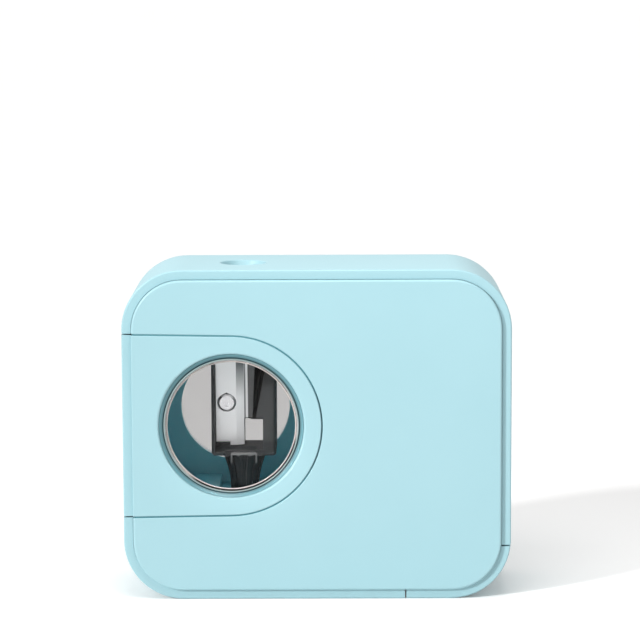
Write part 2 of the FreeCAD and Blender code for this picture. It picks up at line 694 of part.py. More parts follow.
round_edges(drawer, "Sizes.seam_edge_round", is_raised_rim)
cavity = front_sketch(drawer, "Layout.window_x", "Layout.drawer_z")
drawer_outline(cavity, "-Sizes.drawer_wall", "Sizes.window_inset - Sizes.drawer_wall")
extrude(drawer, "Pocket", cavity, "2 * Layout.drawer_back", both_ways=True)
past_end = f"Layout.drawer_end + {MARGIN}"
box(drawer, "Subtractive", ("Layout.cutter_x - Layout.passage_half", past_end),
    symmetric("Layout.passage_half"),
    ("Layout.passage_foot", f"Layout.drawer_top + {MARGIN}"))
box(drawer, "Subtractive", ("Layout.cutter_x - Layout.slot_half", past_end), symmetric("Layout.slot_half"),
    (f"Layout.drawer_z - Layout.drawer_half - {MARGIN}", "Layout.holder_bottom"))
window_centre = ("Layout.window_x", "Layout.drawer_z")
bezel_outside = "Sizes.window_radius + Sizes.bezel_width"
cylinder(drawer, "Subtractive", "Y", window_centre, f"{bezel_outside} + Sizes.bezel_gap",
         (f"-Layout.panel_face - {MARGIN}", f"-Layout.drawer_back + {MARGIN}"))
cylinder(drawer, "Subtractive", "Y", window_centre, "Sizes.rear_window_radius",
         (f"Layout.drawer_back - {MARGIN}", f"Layout.panel_face + {MARGIN}"))
lens_seat = f"{bezel_outside} + Sizes.lens_flange_width + Sizes.lens_gap"
cylinder(drawer, "Subtractive", "Y", window_centre, lens_seat,
         ("-Layout.drawer_back", "-Layout.drawer_back + Sizes.lens_flange_thickness + Sizes.lens_gap"))


def is_window_rim(edge):
    on_face = lies_at_depth(edge, panel_face) or lies_at_depth(edge, -panel_face)
    return on_face and edge.Closed


round_edges(drawer, "Sizes.window_edge_round", is_window_rim)


window_bezel = new_body("window_bezel")
bezel_front = "-Layout.panel_face + Sizes.bezel_recess"
cylinder(window_bezel, "Additive", "Y", window_centre, bezel_outside, (bezel_front, "-Layout.drawer_back"))
cylinder(window_bezel, "Subtractive", "Y", window_centre, "Sizes.window_radius",
         (f"{bezel_front} - {MARGIN}", f"-Layout.drawer_back + {MARGIN}"))
bezel_face = value_of(bezel_front)
bezel_middle = value_of("Sizes.window_radius + Sizes.bezel_width / 2")


def is_bezel_mouth(edge):
    return lies_at_depth(edge, bezel_face) and edge.BoundBox.XLength / 2 < bezel_middle


round_edges(window_bezel, "Sizes.bezel_round", is_bezel_mouth)


def window_lens(label, side, radius, seat_radius):
    """A clear disc with a flange behind it; side is -1 for the front window and 1 for the rear."""
    body = new_body(label)
    seat = "Layout.drawer_back"
    outside = "Layout.panel_face - Sizes.lens_recess"
    inside = f"{seat} - Sizes.lens_flange_thickness"
    disc = (seat, outside) if side > 0 else (f"-({outside})", f"-{seat}")
    flange = (inside, seat) if side > 0 else (f"-{seat}", f"-({inside})")
    cylinder(body, "Additive", "Y", window_centre, f"{radius} - Sizes.lens_gap", disc)
    face = side * value_of(outside)
    round_edges(body, "Sizes.lens_edge_round", lambda edge: lies_at_depth(edge, face))
    cylinder(body, "Additive", "Y", window_centre, f"{seat_radius} + Sizes.lens_flange_width", flange)


window_lens("front_window", -1, "Sizes.window_radius", bezel_outside)
window_lens("rear_window", 1, "Sizes.rear_window_radius", "Sizes.rear_window_radius")

# Cutter, built about its own axis and set at the cutter's place

cutter_holder = new_body("cutter_holder", "Layout.cutter_x")
box(cutter_holder, "Additive", symmetric("Sizes.holder_width / 2"), symmetric("Sizes.holder_thickness / 2"),
    ("Layout.holder_bottom", "Layout.holder_top"))


def is_upright(edge):
    return edge.BoundBox.XLength < 1e-4 and edge.BoundBox.YLength < 1e-4


def is_holder_rim(edge):
    return is_upright(edge) or abs(edge.BoundBox.ZMax - value_of("Layout.holder_bottom")) < 1e-4


round_edges(cutter_holder, "Sizes.holder_edge_round", is_holder_rim)
cylinder(cutter_holder, "Additive", "Z", guide_axis, "Sizes.collar_radius", ("Layout.holder_top",
                                                                             "Layout.collar_top"))
cylinder(cutter_holder, "Subtractive", "Z", guide_axis, "Sizes.holder_bore_radius",
         ("Layout.cone_top", f"Layout.collar_top + {MARGIN}"))
cone(cutter_holder, "Subtractive", "Z", guide_axis, ("Sizes.cone_tip_radius", "Sizes.holder_bore_radius"),
     ("Layout.cone_bottom", "Layout.cone_top"))


def lean_to_cone(feature):
    """Leans a feature or body to follow the front of the pencil's cone, from the blade's foot up."""
    feature.setExpression("Placement.Rotation.Angle", "Sizes.cone_angle * 1 deg")
    feature.setExpression("Placement.Base.y", "Layout.blade_y")
    feature.setExpression("Placement.Base.z", "Layout.blade_bottom")


LEAN = FreeCAD.Rotation(FreeCAD.Vector(1, 0, 0), SIZES["cone_angle"])
seat_sizes = {
    "Length": "Sizes.blade_width + Sizes.blade_gap + Sizes.chip_slot_foot",
    "Width": "Sizes.holder_thickness",
    "Height": "Sizes.blade_length + Sizes.blade_gap + Sizes.collar_height",
}
blade_seat = primitive(cutter_holder, "SubtractiveBox", seat_sizes, (), LEAN)
lean_to_cone(blade_seat)
blade_seat.setExpression("Placement.Base.x", "-Sizes.blade_width - Sizes.blade_gap")
seat_depth = "Sizes.holder_thickness * cos(Sizes.cone_angle * 1 deg)"
seat_drop = "Sizes.holder_thickness * sin(Sizes.cone_angle * 1 deg)"
blade_seat.setExpression("Placement.Base.y", f"Layout.blade_y - {seat_depth}")
blade_seat.setExpression("Placement.Base.z", f"Layout.blade_bottom - {seat_drop}")

chip_slot = front_sketch(cutter_holder, "0", "Layout.holder_bottom")
slot_bottom = "Sizes.outlet_lift + Sizes.outlet_height"
slot_top = "Layout.holder_top - Layout.holder_bottom"
slot_points = (
    (value_of("-Sizes.blade_gap"), value_of(slot_bottom)),
    (value_of("Sizes.chip_slot_foot"), value_of(slot_bottom)),
    (value_of("Sizes.chip_slot_head"), value_of(slot_top)),
    (value_of("-Sizes.blade_gap"), value_of(slot_top)),
)
for start, end in zip(slot_points, slot_points[1:] + slot_points[:1]):
    chip_slot.addGeometry(line(start, end))
for index in range(4):
    chip_slot.addConstraint(Sketcher.Constraint("Coincident", index, 2, (index + 1) % 4, 1))
for index in (0, 2):
    chip_slot.addConstraint(Sketcher.Constraint("Horizontal", index))
chip_slot.addConstraint(Sketcher.Constraint("Vertical", 3))
bind(chip_slot, "edge", Sketcher.Constraint("DistanceX", 0, 1, -1, 1, SIZES["blade_gap"]),
     "Sizes.blade_gap")
bind(chip_slot, "foot", Sketcher.Constraint("DistanceX", -1, 1, 0, 2, slot_points[1][0]),
     "Sizes.chip_slot_foot")
bind(chip_slot, "head", Sketcher.Constraint("DistanceX", -1, 1, 1, 2, slot_points[2][0]),
     "Sizes.chip_slot_head")
bind(chip_slot, "low", Sketcher.Constraint("DistanceY", -1, 1, 0, 1, slot_points[0][1]), slot_bottom)
bind(chip_slot, "high", Sketcher.Constraint("DistanceY", -1, 1, 2, 1, slot_points[2][1]), slot_top)
slot_cut = extrude(cutter_holder, "Pocket", chip_slot, "Sizes.holder_thickness")
slot_cut.Reversed = True
cylinder(cutter_holder, "Subtractive", "Z", guide_axis, "Sizes.tenon_radius",
         (f"Layout.holder_bottom - {MARGIN}", "Layout.holder_bottom + Sizes.tenon_height"))
outlet_foot = "Layout.holder_bottom + Sizes.outlet_lift"
outlet_head = f"{outlet_foot} + Sizes.outlet_height"
box(cutter_holder, "Subtractive", ("0", "Sizes.outlet_width"), symmetric("Sizes.holder_thickness"),
    (outlet_foot, f"{outlet_head} - Sizes.outlet_step"))
box(cutter_holder, "Subtractive", ("0", "Sizes.outlet_width"), ("-Sizes.holder_thickness", "0"),
    (f"{outlet_foot} + Sizes.outlet_height / 2", outlet_head))
hole_depth = "(Sizes.blade_screw_length + Sizes.blade_gap)"
screw_hole = primitive(cutter_holder, "SubtractiveCylinder",
                       {"Radius": "Sizes.blade_screw_radius", "Height": f"{hole_depth} + {MARGIN}"}, (),
                       FreeCAD.Rotation(FreeCAD.Vector(1, 0, 0), 90 + SIZES["cone_angle"]))
lean_cos = "cos(Sizes.cone_angle * 1 deg)"
lean_sin = "sin(Sizes.cone_angle * 1 deg)"
screw_hole.setExpression("Placement.Rotation.Angle", "(90 + Sizes.cone_angle) * 1 deg")
screw_hole.setExpression("Placement.Base.x", "-Sizes.blade_screw_inset")
screw_y = f"Layout.blade_y - Sizes.blade_screw_lift * {lean_sin}"
screw_z = f"Layout.blade_bottom + Sizes.blade_screw_lift * {lean_cos}"
screw_hole.setExpression("Placement.Base.y", f"{screw_y} + {hole_depth} * {lean_cos}")
screw_hole.setExpression("Placement.Base.z", f"{screw_z} + {hole_depth} * {lean_sin}")

stop_sizes = {
    "Length": "Sizes.stop_width + Sizes.blade_gap",
    "Width": "Sizes.stop_thickness",
    "Height": "Sizes.stop_root + Sizes.stop_height",
}
blade_stop = primitive(cutter_holder, "AdditiveBox", stop_sizes, (), LEAN)
lean_to_cone(blade_stop)
stop_front = "(Sizes.blade_thickness + Sizes.blade_gap + Sizes.stop_thickness)"
blade_stop.setExpression("Placement.Base.x", "-Sizes.blade_width - Sizes.blade_gap")
blade_stop.setExpression("Placement.Base.y",
                         f"Layout.blade_y - {stop_front} * {lean_cos} + Sizes.stop_root * {lean_sin}")
blade_stop.setExpression("Placement.Base.z",
                         f"Layout.blade_bottom - {stop_front} * {lean_sin} - Sizes.stop_root * {lean_cos}")

cutter_blade = new_body("cutter_blade", "Layout.cutter_x")
cutter_blade.Placement = FreeCAD.Placement(FreeCAD.Vector(), LEAN)
lean_to_cone(cutter_blade)
blade_block = box(cutter_blade, "Additive", ("-Sizes.blade_width", "0"), ("-Sizes.blade_thickness", "0"),
                  ("0", "Sizes.blade_length"))
doc.recompute()
edge_front = -SIZES["blade_thickness"]


def is_cutting_edge(edge):
    bounds = edge.BoundBox
    return is_upright(edge) and abs(bounds.XMin) < 1e-4 and abs(bounds.YMin - edge_front) < 1e-4


cutting_edges = [f"Edge{i}" for i, edge in enumerate(blade_block.Shape.Edges,
                                                     start=1) if is_cutting_edge(edge)]
bevel = cutter_blade.newObject("PartDesign::Chamfer", "blade_bevel")
bevel.Base = (blade_block, cutting_edges)
bevel.ChamferType = "Two distances"
bevel.setExpression("Size", "Sizes.blade_thickness * 0.7")
bevel.setExpression("Size2", "Sizes.blade_bevel")
box(cutter_blade, "Additive", ("-Sizes.blade_gap", "Sizes.edge_width"), ("-Sizes.blade_thickness * 0.3",
                                                                         "0"),
    ("Sizes.edge_lift", "Sizes.blade_length"))
cylinder(cutter_blade, "Subtractive", "Y", ("-Sizes.blade_screw_inset", "Sizes.blade_screw_lift"),
         "Sizes.blade_screw_radius", ("-2 * Sizes.blade_thickness", "Sizes.blade_thickness"))

blade_screw = new_body("blade_screw", "Layout.cutter_x")
blade_screw.Placement = FreeCAD.Placement(FreeCAD.Vector(), LEAN)
lean_to_cone(blade_screw)
screw_axis = ("-Sizes.blade_screw_inset", "Sizes.blade_screw_lift")
head_top = "-Sizes.blade_thickness - Sizes.blade_screw_head_height"
head_span = (head_top, "-Sizes.blade_thickness")
cylinder(blade_screw, "Additive", "Y", screw_axis, "Sizes.blade_screw_head_radius", head_span)
screw_top = value_of(head_top)
round_edges(blade_screw, "Sizes.blade_screw_head_height / 2", lambda edge: lies_at_depth(edge, screw_top))
cylinder(blade_screw, "Additive", "Y", screw_axis, "Sizes.blade_screw_radius",
         ("-Sizes.blade_thickness", "Sizes.blade_screw_length"))
CROSS_WIDTH = "Sizes.blade_screw_head_radius * 0.28"
CROSS_REACH = "Sizes.blade_screw_head_radius * 0.6"
cross_depth = (f"{head_top} - {MARGIN}", f"{head_top} + Sizes.blade_screw_head_height * 0.6")
for half_x, half_z in ((CROSS_WIDTH, CROSS_REACH), (CROSS_REACH, CROSS_WIDTH)):
    box(blade_screw, "Subtractive", (f"{screw_axis[0]} - {half_x}", f"{screw_axis[0]} + {half_x}"),
        cross_depth,
        (f"{screw_axis[1]} - {half_z}", f"{screw_axis[1]} + {half_z}"))

drive_coupling = new_body("drive_coupling", "Layout.cutter_x")
taper_foot = "Layout.holder_bottom - Sizes.coupling_taper"
cone(drive_coupling, "Additive", "Z", guide_axis, ("Sizes.coupling_shank_radius",
                                                   "Sizes.coupling_top_radius"),
     (taper_foot, "Layout.holder_bottom"))
flute_bed = "Sizes.coupling_shank_radius - Sizes.flute_depth"
flute = box(drive_coupling, "Subtractive", (flute_bed, f"Sizes.coupling_top_radius + {MARGIN}"),
            symmetric("Sizes.flute_width / 2"), (f"{taper_foot} - {MARGIN}",
                                                 "Layout.holder_bottom - Sizes.flute_depth"))
doc.recompute()
flutes = drive_coupling.newObject("PartDesign::PolarPattern", "coupling_flutes")
upright_axis = next(item for item in drive_coupling.Origin.OriginFeatures if item.Role == "Z_Axis")
flutes.Originals = [flute]
flutes.Axis = (upright_axis, [""])
flutes.Angle = 360
flutes.setExpression("Occurrences", "Sizes.flute_count")
drive_coupling.Tip = flutes
cylinder(drive_coupling, "Additive", "Z", guide_axis, "Sizes.coupling_shank_radius",
         ("Layout.coupling_bottom", "Layout.holder_bottom"))
cylinder(drive_coupling, "Additive", "Z", guide_axis, "Sizes.tenon_radius",
         ("Layout.holder_bottom", "Layout.holder_bottom + Sizes.tenon_height"))
hexagon(drive_coupling, "Subtractive", "Layout.spindle_corner", (f"Layout.coupling_bottom - {MARGIN}",
                                                                 "Layout.spindle_top"))

spindle = new_body("spindle", "Layout.cutter_x")
hexagon(spindle, "Additive", "Layout.spindle_corner", ("Layout.spindle_bottom", "Layout.clip_bottom"))
cylinder(spindle, "Additive", "Z", guide_axis, "Sizes.clip_neck_radius", ("Layout.clip_bottom",
                                                                          "Layout.clip_top"))
hexagon(spindle, "Additive", "Layout.spindle_corner", ("Layout.clip_top", "Layout.spindle_top"))

retaining_clip = new_body("retaining_clip", "Layout.cutter_x")
clip_span = ("Layout.clip_bottom", "Layout.clip_top")
cylinder(retaining_clip, "Additive", "Z", guide_axis, "Sizes.clip_radius", clip_span)
cylinder(retaining_clip, "Subtractive", "Z", guide_axis, "Sizes.clip_neck_radius", clip_span)
box(retaining_clip, "Subtractive", ("0", f"Sizes.clip_radius + {MARGIN}"),
    symmetric("Sizes.clip_neck_radius * 0.8"), clip_span)

# Gears

FLANK_STEPS = 3


def involute(angle):
    """The involute function of an angle in radians."""
    return math.tan(angle) - angle


def gear_blank(teeth, bottom, top, half_turn=False):
    """A spur gear on its own axis, with a tooth facing +X, or a gap facing -X where half_turn is set."""
    module = value_of("Sizes.gear_module")
    pressure = math.radians(value_of("Sizes.pressure_angle"))
    pitch_radius = module * teeth / 2
    base_radius = pitch_radius * math.cos(pressure)
    tip_radius = pitch_radius + module * value_of("Sizes.tooth_addendum")
    root_radius = pitch_radius - module * value_of("Sizes.tooth_dedendum")
    half_tooth = math.pi / (2 * teeth) - value_of("Sizes.tooth_backlash") / (2 * pitch_radius)
    start_radius = max(base_radius, root_radius)
    flank = [(root_radius, start_radius)]
    for step in range(FLANK_STEPS + 1):
        radius = start_radius + (tip_radius - start_radius) * step / FLANK_STEPS
        flank.append((radius, radius))
    turn = math.pi + math.pi / teeth if half_turn else 0.0
    points = []
    for tooth in range(teeth):
        middle = turn + 2 * math.pi * tooth / teeth
        for side, radii in ((-1, flank), (1, flank[::-1])):
            for radius, involute_radius in radii:
                roll = math.acos(min(1.0, base_radius / involute_radius))
                angle = middle + side * (half_tooth + involute(pressure) - involute(roll))
                points.append(FreeCAD.Vector(radius * math.cos(angle), radius * math.sin(angle), bottom))
    distinct = [points[0]]
    for point in points[1:]:
        if point.distanceToPoint(distinct[-1]) > 1e-6:
            distinct.append(point)
    outline_wire = Part.makePolygon(distinct + [distinct[0]])
    return Part.Face(outline_wire).extrude(FreeCAD.Vector(0, 0, top - bottom))


def round_bar(radius, bottom, top):
    """A plain upright cylinder on its own axis."""
    return Part.makeCylinder(radius, top - bottom, FreeCAD.Vector(0, 0, bottom))


def hexagonal_bar(corner, bottom, top):
    """An upright six-sided bar on its own axis, with a corner facing +X."""
    points = []
    for index in range(6):
        angle = math.radians(60 * index)
        points.append(FreeCAD.Vector(corner * math.cos(angle), corner * math.sin(angle), bottom))
    return Part.Face(Part.makePolygon(points + points[:1])).extrude(FreeCAD.Vector(0, 0, top - bottom))


output_bottom = value_of("Layout.output_bottom")
output_top = value_of("Layout.output_top")
hub_top = value_of("Layout.hub_top")
wheel_bottom = value_of("Layout.wheel_bottom")
wheel_top = value_of("Layout.wheel_top")
gear = gear_blank(SIZES["output_teeth"], output_bottom, output_top)
gear = gear.fuse(round_bar(SIZES["hub_radius"], output_top, hub_top))
recess_top = output_bottom + SIZES["pedestal_depth"] + SIZES["thrust_gap"]
gear = gear.cut(round_bar(SIZES["pedestal_radius"] + SIZES["running_gap"], output_bottom, recess_top))
hex_corner = value_of("Layout.spindle_corner") + SIZES["hex_gap"]
gear = gear.cut(hexagonal_bar(hex_corner, output_bottom, hub_top))
new_shape("output_gear", gear, "Layout.cutter_x")

idler_bottom = output_bottom - SIZES["gear_step"]
gear = gear_blank(SIZES["idler_pinion_teeth"], idler_bottom, wheel_bottom, half_turn=True)
gear = gear.fuse(gear_blank(SIZES["wheel_teeth"], wheel_bottom, wheel_top))
gear = gear.cut(round_bar(SIZES["axle_radius"] + SIZES["running_gap"], idler_bottom, wheel_top))
new_shape("idler_gear", gear, "Layout.idler_x")

motor_pinion_bottom = value_of("Layout.motor_pinion_bottom")
motor_pinion_top = motor_pinion_bottom + SIZES["motor_pinion_face"]
gear = gear_blank(SIZES["motor_pinion_teeth"], motor_pinion_bottom, motor_pinion_top, half_turn=True)
gear = gear.cut(round_bar(SIZES["motor_shaft_radius"], motor_pinion_bottom, motor_pinion_top))
new_shape("motor_pinion", gear, "Layout.motor_x")


def tangent_arc(start, corner, end):
    """An arc between two points whose end tangents meet at a corner."""
    middle = (start + end) * 0.5
    half_chord = start.distanceToPoint(end) / 2
    half_angle = (corner - start).getAngle(end - start) / 2
    outward = (corner - middle).normalize()
    return Part.Arc(start, middle + outward * (half_chord * math.tan(half_angle)), end).toShape()


def helix_wire(radius, turns, bottom, rise):
    """A smooth wire wound upwards on its own axis, as two tangent arcs for each quarter turn."""
    quarters = 4 * turns
    climb = rise / (2 * math.pi * turns)
    points = []
    tangents = []
    for quarter in range(quarters + 1):
        angle = math.pi / 2 * quarter
        points.append(FreeCAD.Vector(radius * math.cos(angle), radius * math.sin(angle),
                                     bottom + climb * angle))
        tangent = FreeCAD.Vector(-radius * math.sin(angle), radius * math.cos(angle), climb)
        tangents.append(tangent.normalize())
    edges = []
    for index in range(quarters):
        chord = points[index + 1] - points[index]
        along = chord.dot(tangents[index] + tangents[index + 1])
        bend = 1 - tangents[index].dot(tangents[index + 1])
        reach = (math.sqrt(along ** 2 + 2 * bend * chord.dot(chord)) - along) / (2 * bend)
        first_corner = points[index] + tangents[index] * reach
        second_corner = points[index + 1] - tangents[index + 1] * reach
        joint = (first_corner + second_corner) * 0.5
        edges.append(tangent_arc(points[index], first_corner, joint))
        edges.append(tangent_arc(joint, second_corner, points[index + 1]))
    return Part.Wire(edges), points[0], tangents[0]


def coil_spring(radius, wire_radius, turns, bottom, top):
    """One unbroken wire wound upwards between two places on its own axis."""
    rise = top - bottom - 2 * wire_radius
    path, start, direction = helix_wire(radius, turns, bottom + wire_radius, rise)
    section = Part.Wire(Part.makeCircle(wire_radius, start, direction))
    gap = rise / turns - 2 * wire_radius
    print(f"spring of {turns} turns: least gap between turns {gap:.2f} mm")
    return path.makePipeShell([section], True, False)


spring = coil_spring(SIZES["spring_radius"], SIZES["spring_wire_radius"], SIZES["spring_turns"],
                     hub_top, value_of("Layout.coupling_bottom"))
new_shape("return_spring", spring, "Layout.cutter_x")

# Gearbox

PILLARS = [(x, y) for x in ("Layout.pillar_left",
                            "Layout.pillar_right") for y in symmetric("Layout.pillar_y")]

gearbox_base = new_body("gearbox_base")
box(gearbox_base, "Additive", ("Layout.base_left", "Layout.base_right"), symmetric("Layout.base_depth"),
    ("Sizes.ring_wall", "Layout.base_top"))
for pillar in PILLARS:
    cylinder(gearbox_base, "Additive", "Z", pillar, "Sizes.pillar_radius",
             ("Sizes.ring_wall", "Layout.cover_bottom"))
    cylinder(gearbox_base, "Subtractive", "Z", pillar, "Sizes.screw_radius",
             ("Layout.cover_bottom - Sizes.gearbox_screw_grip", f"Layout.cover_bottom + {MARGIN}"))
cutter_axis = ("Layout.cutter_x", "0")
idler_axis = ("Layout.idler_x", "0")
motor_axis = ("Layout.motor_x", "0")
cylinder(gearbox_base, "Additive", "Z", cutter_axis, "Sizes.pedestal_radius",
         ("Sizes.ring_wall", "Layout.output_bottom + Sizes.pedestal_depth"))
cylinder(gearbox_base, "Subtractive", "Z", cutter_axis, "Sizes.pedestal_radius - Sizes.pedestal_wall",
         ("Layout.base_top", f"Layout.output_bottom + {MARGIN}"))
cylinder(gearbox_base, "Additive", "Z", idler_axis, "Sizes.axle_boss_radius",
         ("Sizes.ring_wall", "Layout.output_bottom - Sizes.gear_step - Sizes.thrust_gap"))
cylinder(gearbox_base, "Subtractive", "Z", idler_axis, "Sizes.axle_radius",
         ("Sizes.ring_wall + Sizes.base_thickness / 2", f"Layout.output_bottom + {MARGIN}"))

gearbox_cover = new_body("gearbox_cover")
cover_span = ("Layout.cover_bottom", "Layout.cover_top")
through_cover = (f"Layout.cover_bottom - {MARGIN}", f"Layout.cover_top + {MARGIN}")
box(gearbox_cover, "Additive", ("Layout.inner_left", "Layout.battery_wall_x - Sizes.seam_gap"),
    frame_span, cover_span)
cylinder(gearbox_cover, "Additive", "Z", idler_axis, "Sizes.axle_boss_radius",
         ("Layout.wheel_top + Sizes.thrust_gap", "Layout.cover_top"))
cylinder(gearbox_cover, "Subtractive", "Z", idler_axis, "Sizes.axle_radius",
         ("Layout.wheel_top", "Layout.cover_top - Sizes.cover_thickness / 2"))
cylinder(gearbox_cover, "Subtractive", "Z", cutter_axis, "Layout.bush_radius", through_cover)
cylinder(gearbox_cover, "Subtractive", "Z", motor_axis, "Sizes.motor_boss_radius + Sizes.running_gap",
         through_cover)
head_depth = "Layout.cover_top - Sizes.screw_head_height"
for pillar in PILLARS:
    cylinder(gearbox_cover, "Subtractive", "Z", pillar, "Sizes.screw_radius + Sizes.screw_hole_gap",
             through_cover)
    cylinder(gearbox_cover, "Subtractive", "Z", pillar, "Sizes.screw_head_radius + Sizes.screw_head_gap",
             (head_depth, f"Layout.cover_top + {MARGIN}"))

gearbox_screws = new_body("gearbox_screws", several=True)
for pillar in PILLARS:
    cylinder(gearbox_screws, "Additive", "Z", pillar, "Sizes.screw_radius",
             ("Layout.cover_bottom - Sizes.gearbox_screw_grip", "Layout.cover_top"))
    cylinder(gearbox_screws, "Additive", "Z", pillar, "Sizes.screw_head_radius", (head_depth,
                                                                                  "Layout.cover_top"))

spindle_bush = new_body("spindle_bush", "Layout.cutter_x")
flange_foot = "Layout.cover_bottom - Sizes.bush_flange_thickness"
cylinder(spindle_bush, "Additive", "Z", guide_axis, "Layout.bush_radius", (flange_foot, "Layout.cover_top"))
cylinder(spindle_bush, "Additive", "Z", guide_axis, "Layout.bush_radius + Sizes.bush_flange_width",
         (flange_foot, "Layout.cover_bottom"))
cylinder(spindle_bush, "Subtractive", "Z", guide_axis, "Layout.bush_bore",
         (f"{flange_foot} - {MARGIN}", f"Layout.cover_top + {MARGIN}"))

idler_axle = new_body("idler_axle", "Layout.idler_x")
cylinder(idler_axle, "Additive", "Z", guide_axis, "Sizes.axle_radius",
         ("Sizes.ring_wall + Sizes.base_thickness / 2", "Layout.cover_top - Sizes.cover_thickness / 2"))

switch_body = new_body("switch_body", "Layout.cutter_x")
box(switch_body, "Additive", symmetric("Sizes.switch_width / 2"), symmetric("Sizes.switch_width / 2"),
    ("Layout.base_top", "Layout.switch_top"))
cylinder(switch_body, "Subtractive", "Z", guide_axis, "Sizes.button_radius + Sizes.running_gap",
         ("Layout.switch_top - Sizes.button_depth - Sizes.plunge - Sizes.touch_gap",
          f"Layout.switch_top + {MARGIN}"))

switch_button = new_body("switch_button", "Layout.cutter_x")
cylinder(switch_button, "Additive", "Z", guide_axis, "Sizes.button_radius",
         ("Layout.switch_top - Sizes.button_depth", "Layout.button_top"))

# Motor

def flat_sided(name, radius, half_flat, bottom, top):
    """A round bar with two flats facing left and right, on its own axis."""
    bar = doc.addObject("Part::Cylinder", f"{name}_round")
    bar.setExpression("Radius", radius)
    bar.setExpression("Height", f"({top}) - ({bottom})")
    bar.setExpression("Placement.Base.z", bottom)
    slab = doc.addObject("Part::Box", f"{name}_flats")
    slab.setExpression("Length", f"2 * ({half_flat})")
    slab.setExpression("Width", f"4 * ({radius})")
    slab.setExpression("Height", f"({top}) - ({bottom})")
    slab.setExpression("Placement.Base.x", f"-({half_flat})")
    slab.setExpression("Placement.Base.y", f"-2 * ({radius})")
    slab.setExpression("Placement.Base.z", bottom)
    common = doc.addObject("Part::Common", name)
    common.Base = bar
    common.Tool = slab
    return common


def upright_bar(name, radius, bottom, top):
    """A plain bar on its own axis."""
    bar = doc.addObject("Part::Cylinder", name)
    bar.setExpression("Radius", radius)
    bar.setExpression("Height", f"({top}) - ({bottom})")
    bar.setExpression("Placement.Base.z", bottom)
    return bar


def boolean(kind, label, base, tools, x):
    """A finished piece made of a base and tools, set at the given X."""
    for index, tool in enumerate(tools):
        result = doc.addObject(f"Part::{kind[index]}",
                               label if index == len(tools) - 1 else f"{label}_step")
        result.Base = base
        result.Tool = tool
        base = result
    base.Label = label
    base.setExpression("Placement.Base.x", x)
    pieces.append(base)
    return base


motor_radius = "Sizes.motor_diameter / 2"
half_flat = "Sizes.motor_flats / 2"
inner_radius = f"{motor_radius} - Sizes.motor_wall"
inner_flat = f"{half_flat} - Sizes.motor_wall"
boss_foot = "Layout.cover_top - Sizes.motor_boss_height"
can_outside = flat_sided("can_outside", motor_radius, half_flat, "Layout.cover_top",
                         "Layout.end_cap_bottom")
can_boss = upright_bar("can_boss", "Sizes.motor_boss_radius", boss_foot,
                       "Layout.cover_top + Sizes.motor_wall")
can_inside = flat_sided("can_inside", inner_radius, inner_flat, "Layout.cover_top + Sizes.motor_wall",
                        f"Layout.end_cap_bottom + {MARGIN}")
can_bore = upright_bar("can_bore", "Sizes.motor_shaft_radius + Sizes.running_gap",
                       f"{boss_foot} - {MARGIN}",
                       f"Layout.cover_top + Sizes.motor_wall + {MARGIN}")
boolean(("Fuse", "Cut", "Cut"), "motor_can", can_outside, (can_boss, can_inside, can_bore),
        "Layout.motor_x")

cap_outside = flat_sided("cap_outside", motor_radius, half_flat, "Layout.end_cap_bottom",
                         "Layout.end_cap_top")
cap_bore = upright_bar("cap_bore", "Sizes.motor_shaft_radius + Sizes.running_gap",
                       f"Layout.end_cap_bottom - {MARGIN}", "Layout.end_cap_top - Sizes.motor_wall")
boolean(("Cut",), "motor_end_cap", cap_outside, (cap_bore,), "Layout.motor_x")

rotor_foot = "Layout.cover_top + Sizes.motor_wall + Sizes.rotor_lift"
magnet_foot = f"{rotor_foot} - (Sizes.magnet_length - Sizes.rotor_length) / 2"
magnet_head = f"{magnet_foot} + Sizes.magnet_length"
magnet_outside = flat_sided("magnet_outside", inner_radius, inner_flat, magnet_foot, magnet_head)
magnet_inside = upright_bar("magnet_inside", f"{inner_radius} - Sizes.magnet_thickness",
                            f"{magnet_foot} - {MARGIN}", f"{magnet_head} + {MARGIN}")
magnet_split = doc.addObject("Part::Box", "magnet_split")
magnet_split.setExpression("Length", "Sizes.motor_diameter")
magnet_split.setExpression("Width", "Sizes.motor_diameter / 2")
magnet_split.setExpression("Height", f"Sizes.magnet_length + 2 * {MARGIN}")
magnet_split.setExpression("Placement.Base.x", "-Sizes.motor_diameter / 2")
magnet_split.setExpression("Placement.Base.y", "-Sizes.motor_diameter / 4")
magnet_split.setExpression("Placement.Base.z", f"{magnet_foot} - {MARGIN}")
boolean(("Cut", "Cut"), "motor_magnets", magnet_outside, (magnet_inside, magnet_split), "Layout.motor_x")

rotor_head = f"{rotor_foot} + Sizes.rotor_length"
motor_rotor = new_body("motor_rotor", "Layout.motor_x")
rotor_room = f"min({inner_radius} - Sizes.magnet_thickness; {inner_flat})"
rotor_radius = f"{rotor_room} - Sizes.rotor_air_gap"
cylinder(motor_rotor, "Additive", "Z", guide_axis, rotor_radius, (rotor_foot, rotor_head))
cylinder(motor_rotor, "Additive", "Z", guide_axis, "Sizes.commutator_radius",
         (rotor_head, f"{rotor_head} + Sizes.commutator_length"))
cylinder(motor_rotor, "Subtractive", "Z", guide_axis, "Sizes.motor_shaft_radius",
         (f"{rotor_foot} - {MARGIN}", f"{rotor_head} + Sizes.commutator_length + {MARGIN}"))

motor_shaft = new_body("motor_shaft", "Layout.motor_x")
cylinder(motor_shaft, "Additive", "Z", guide_axis, "Sizes.motor_shaft_radius",
         ("Layout.motor_pinion_bottom", "Layout.end_cap_top - Sizes.motor_wall - Sizes.thrust_gap"))

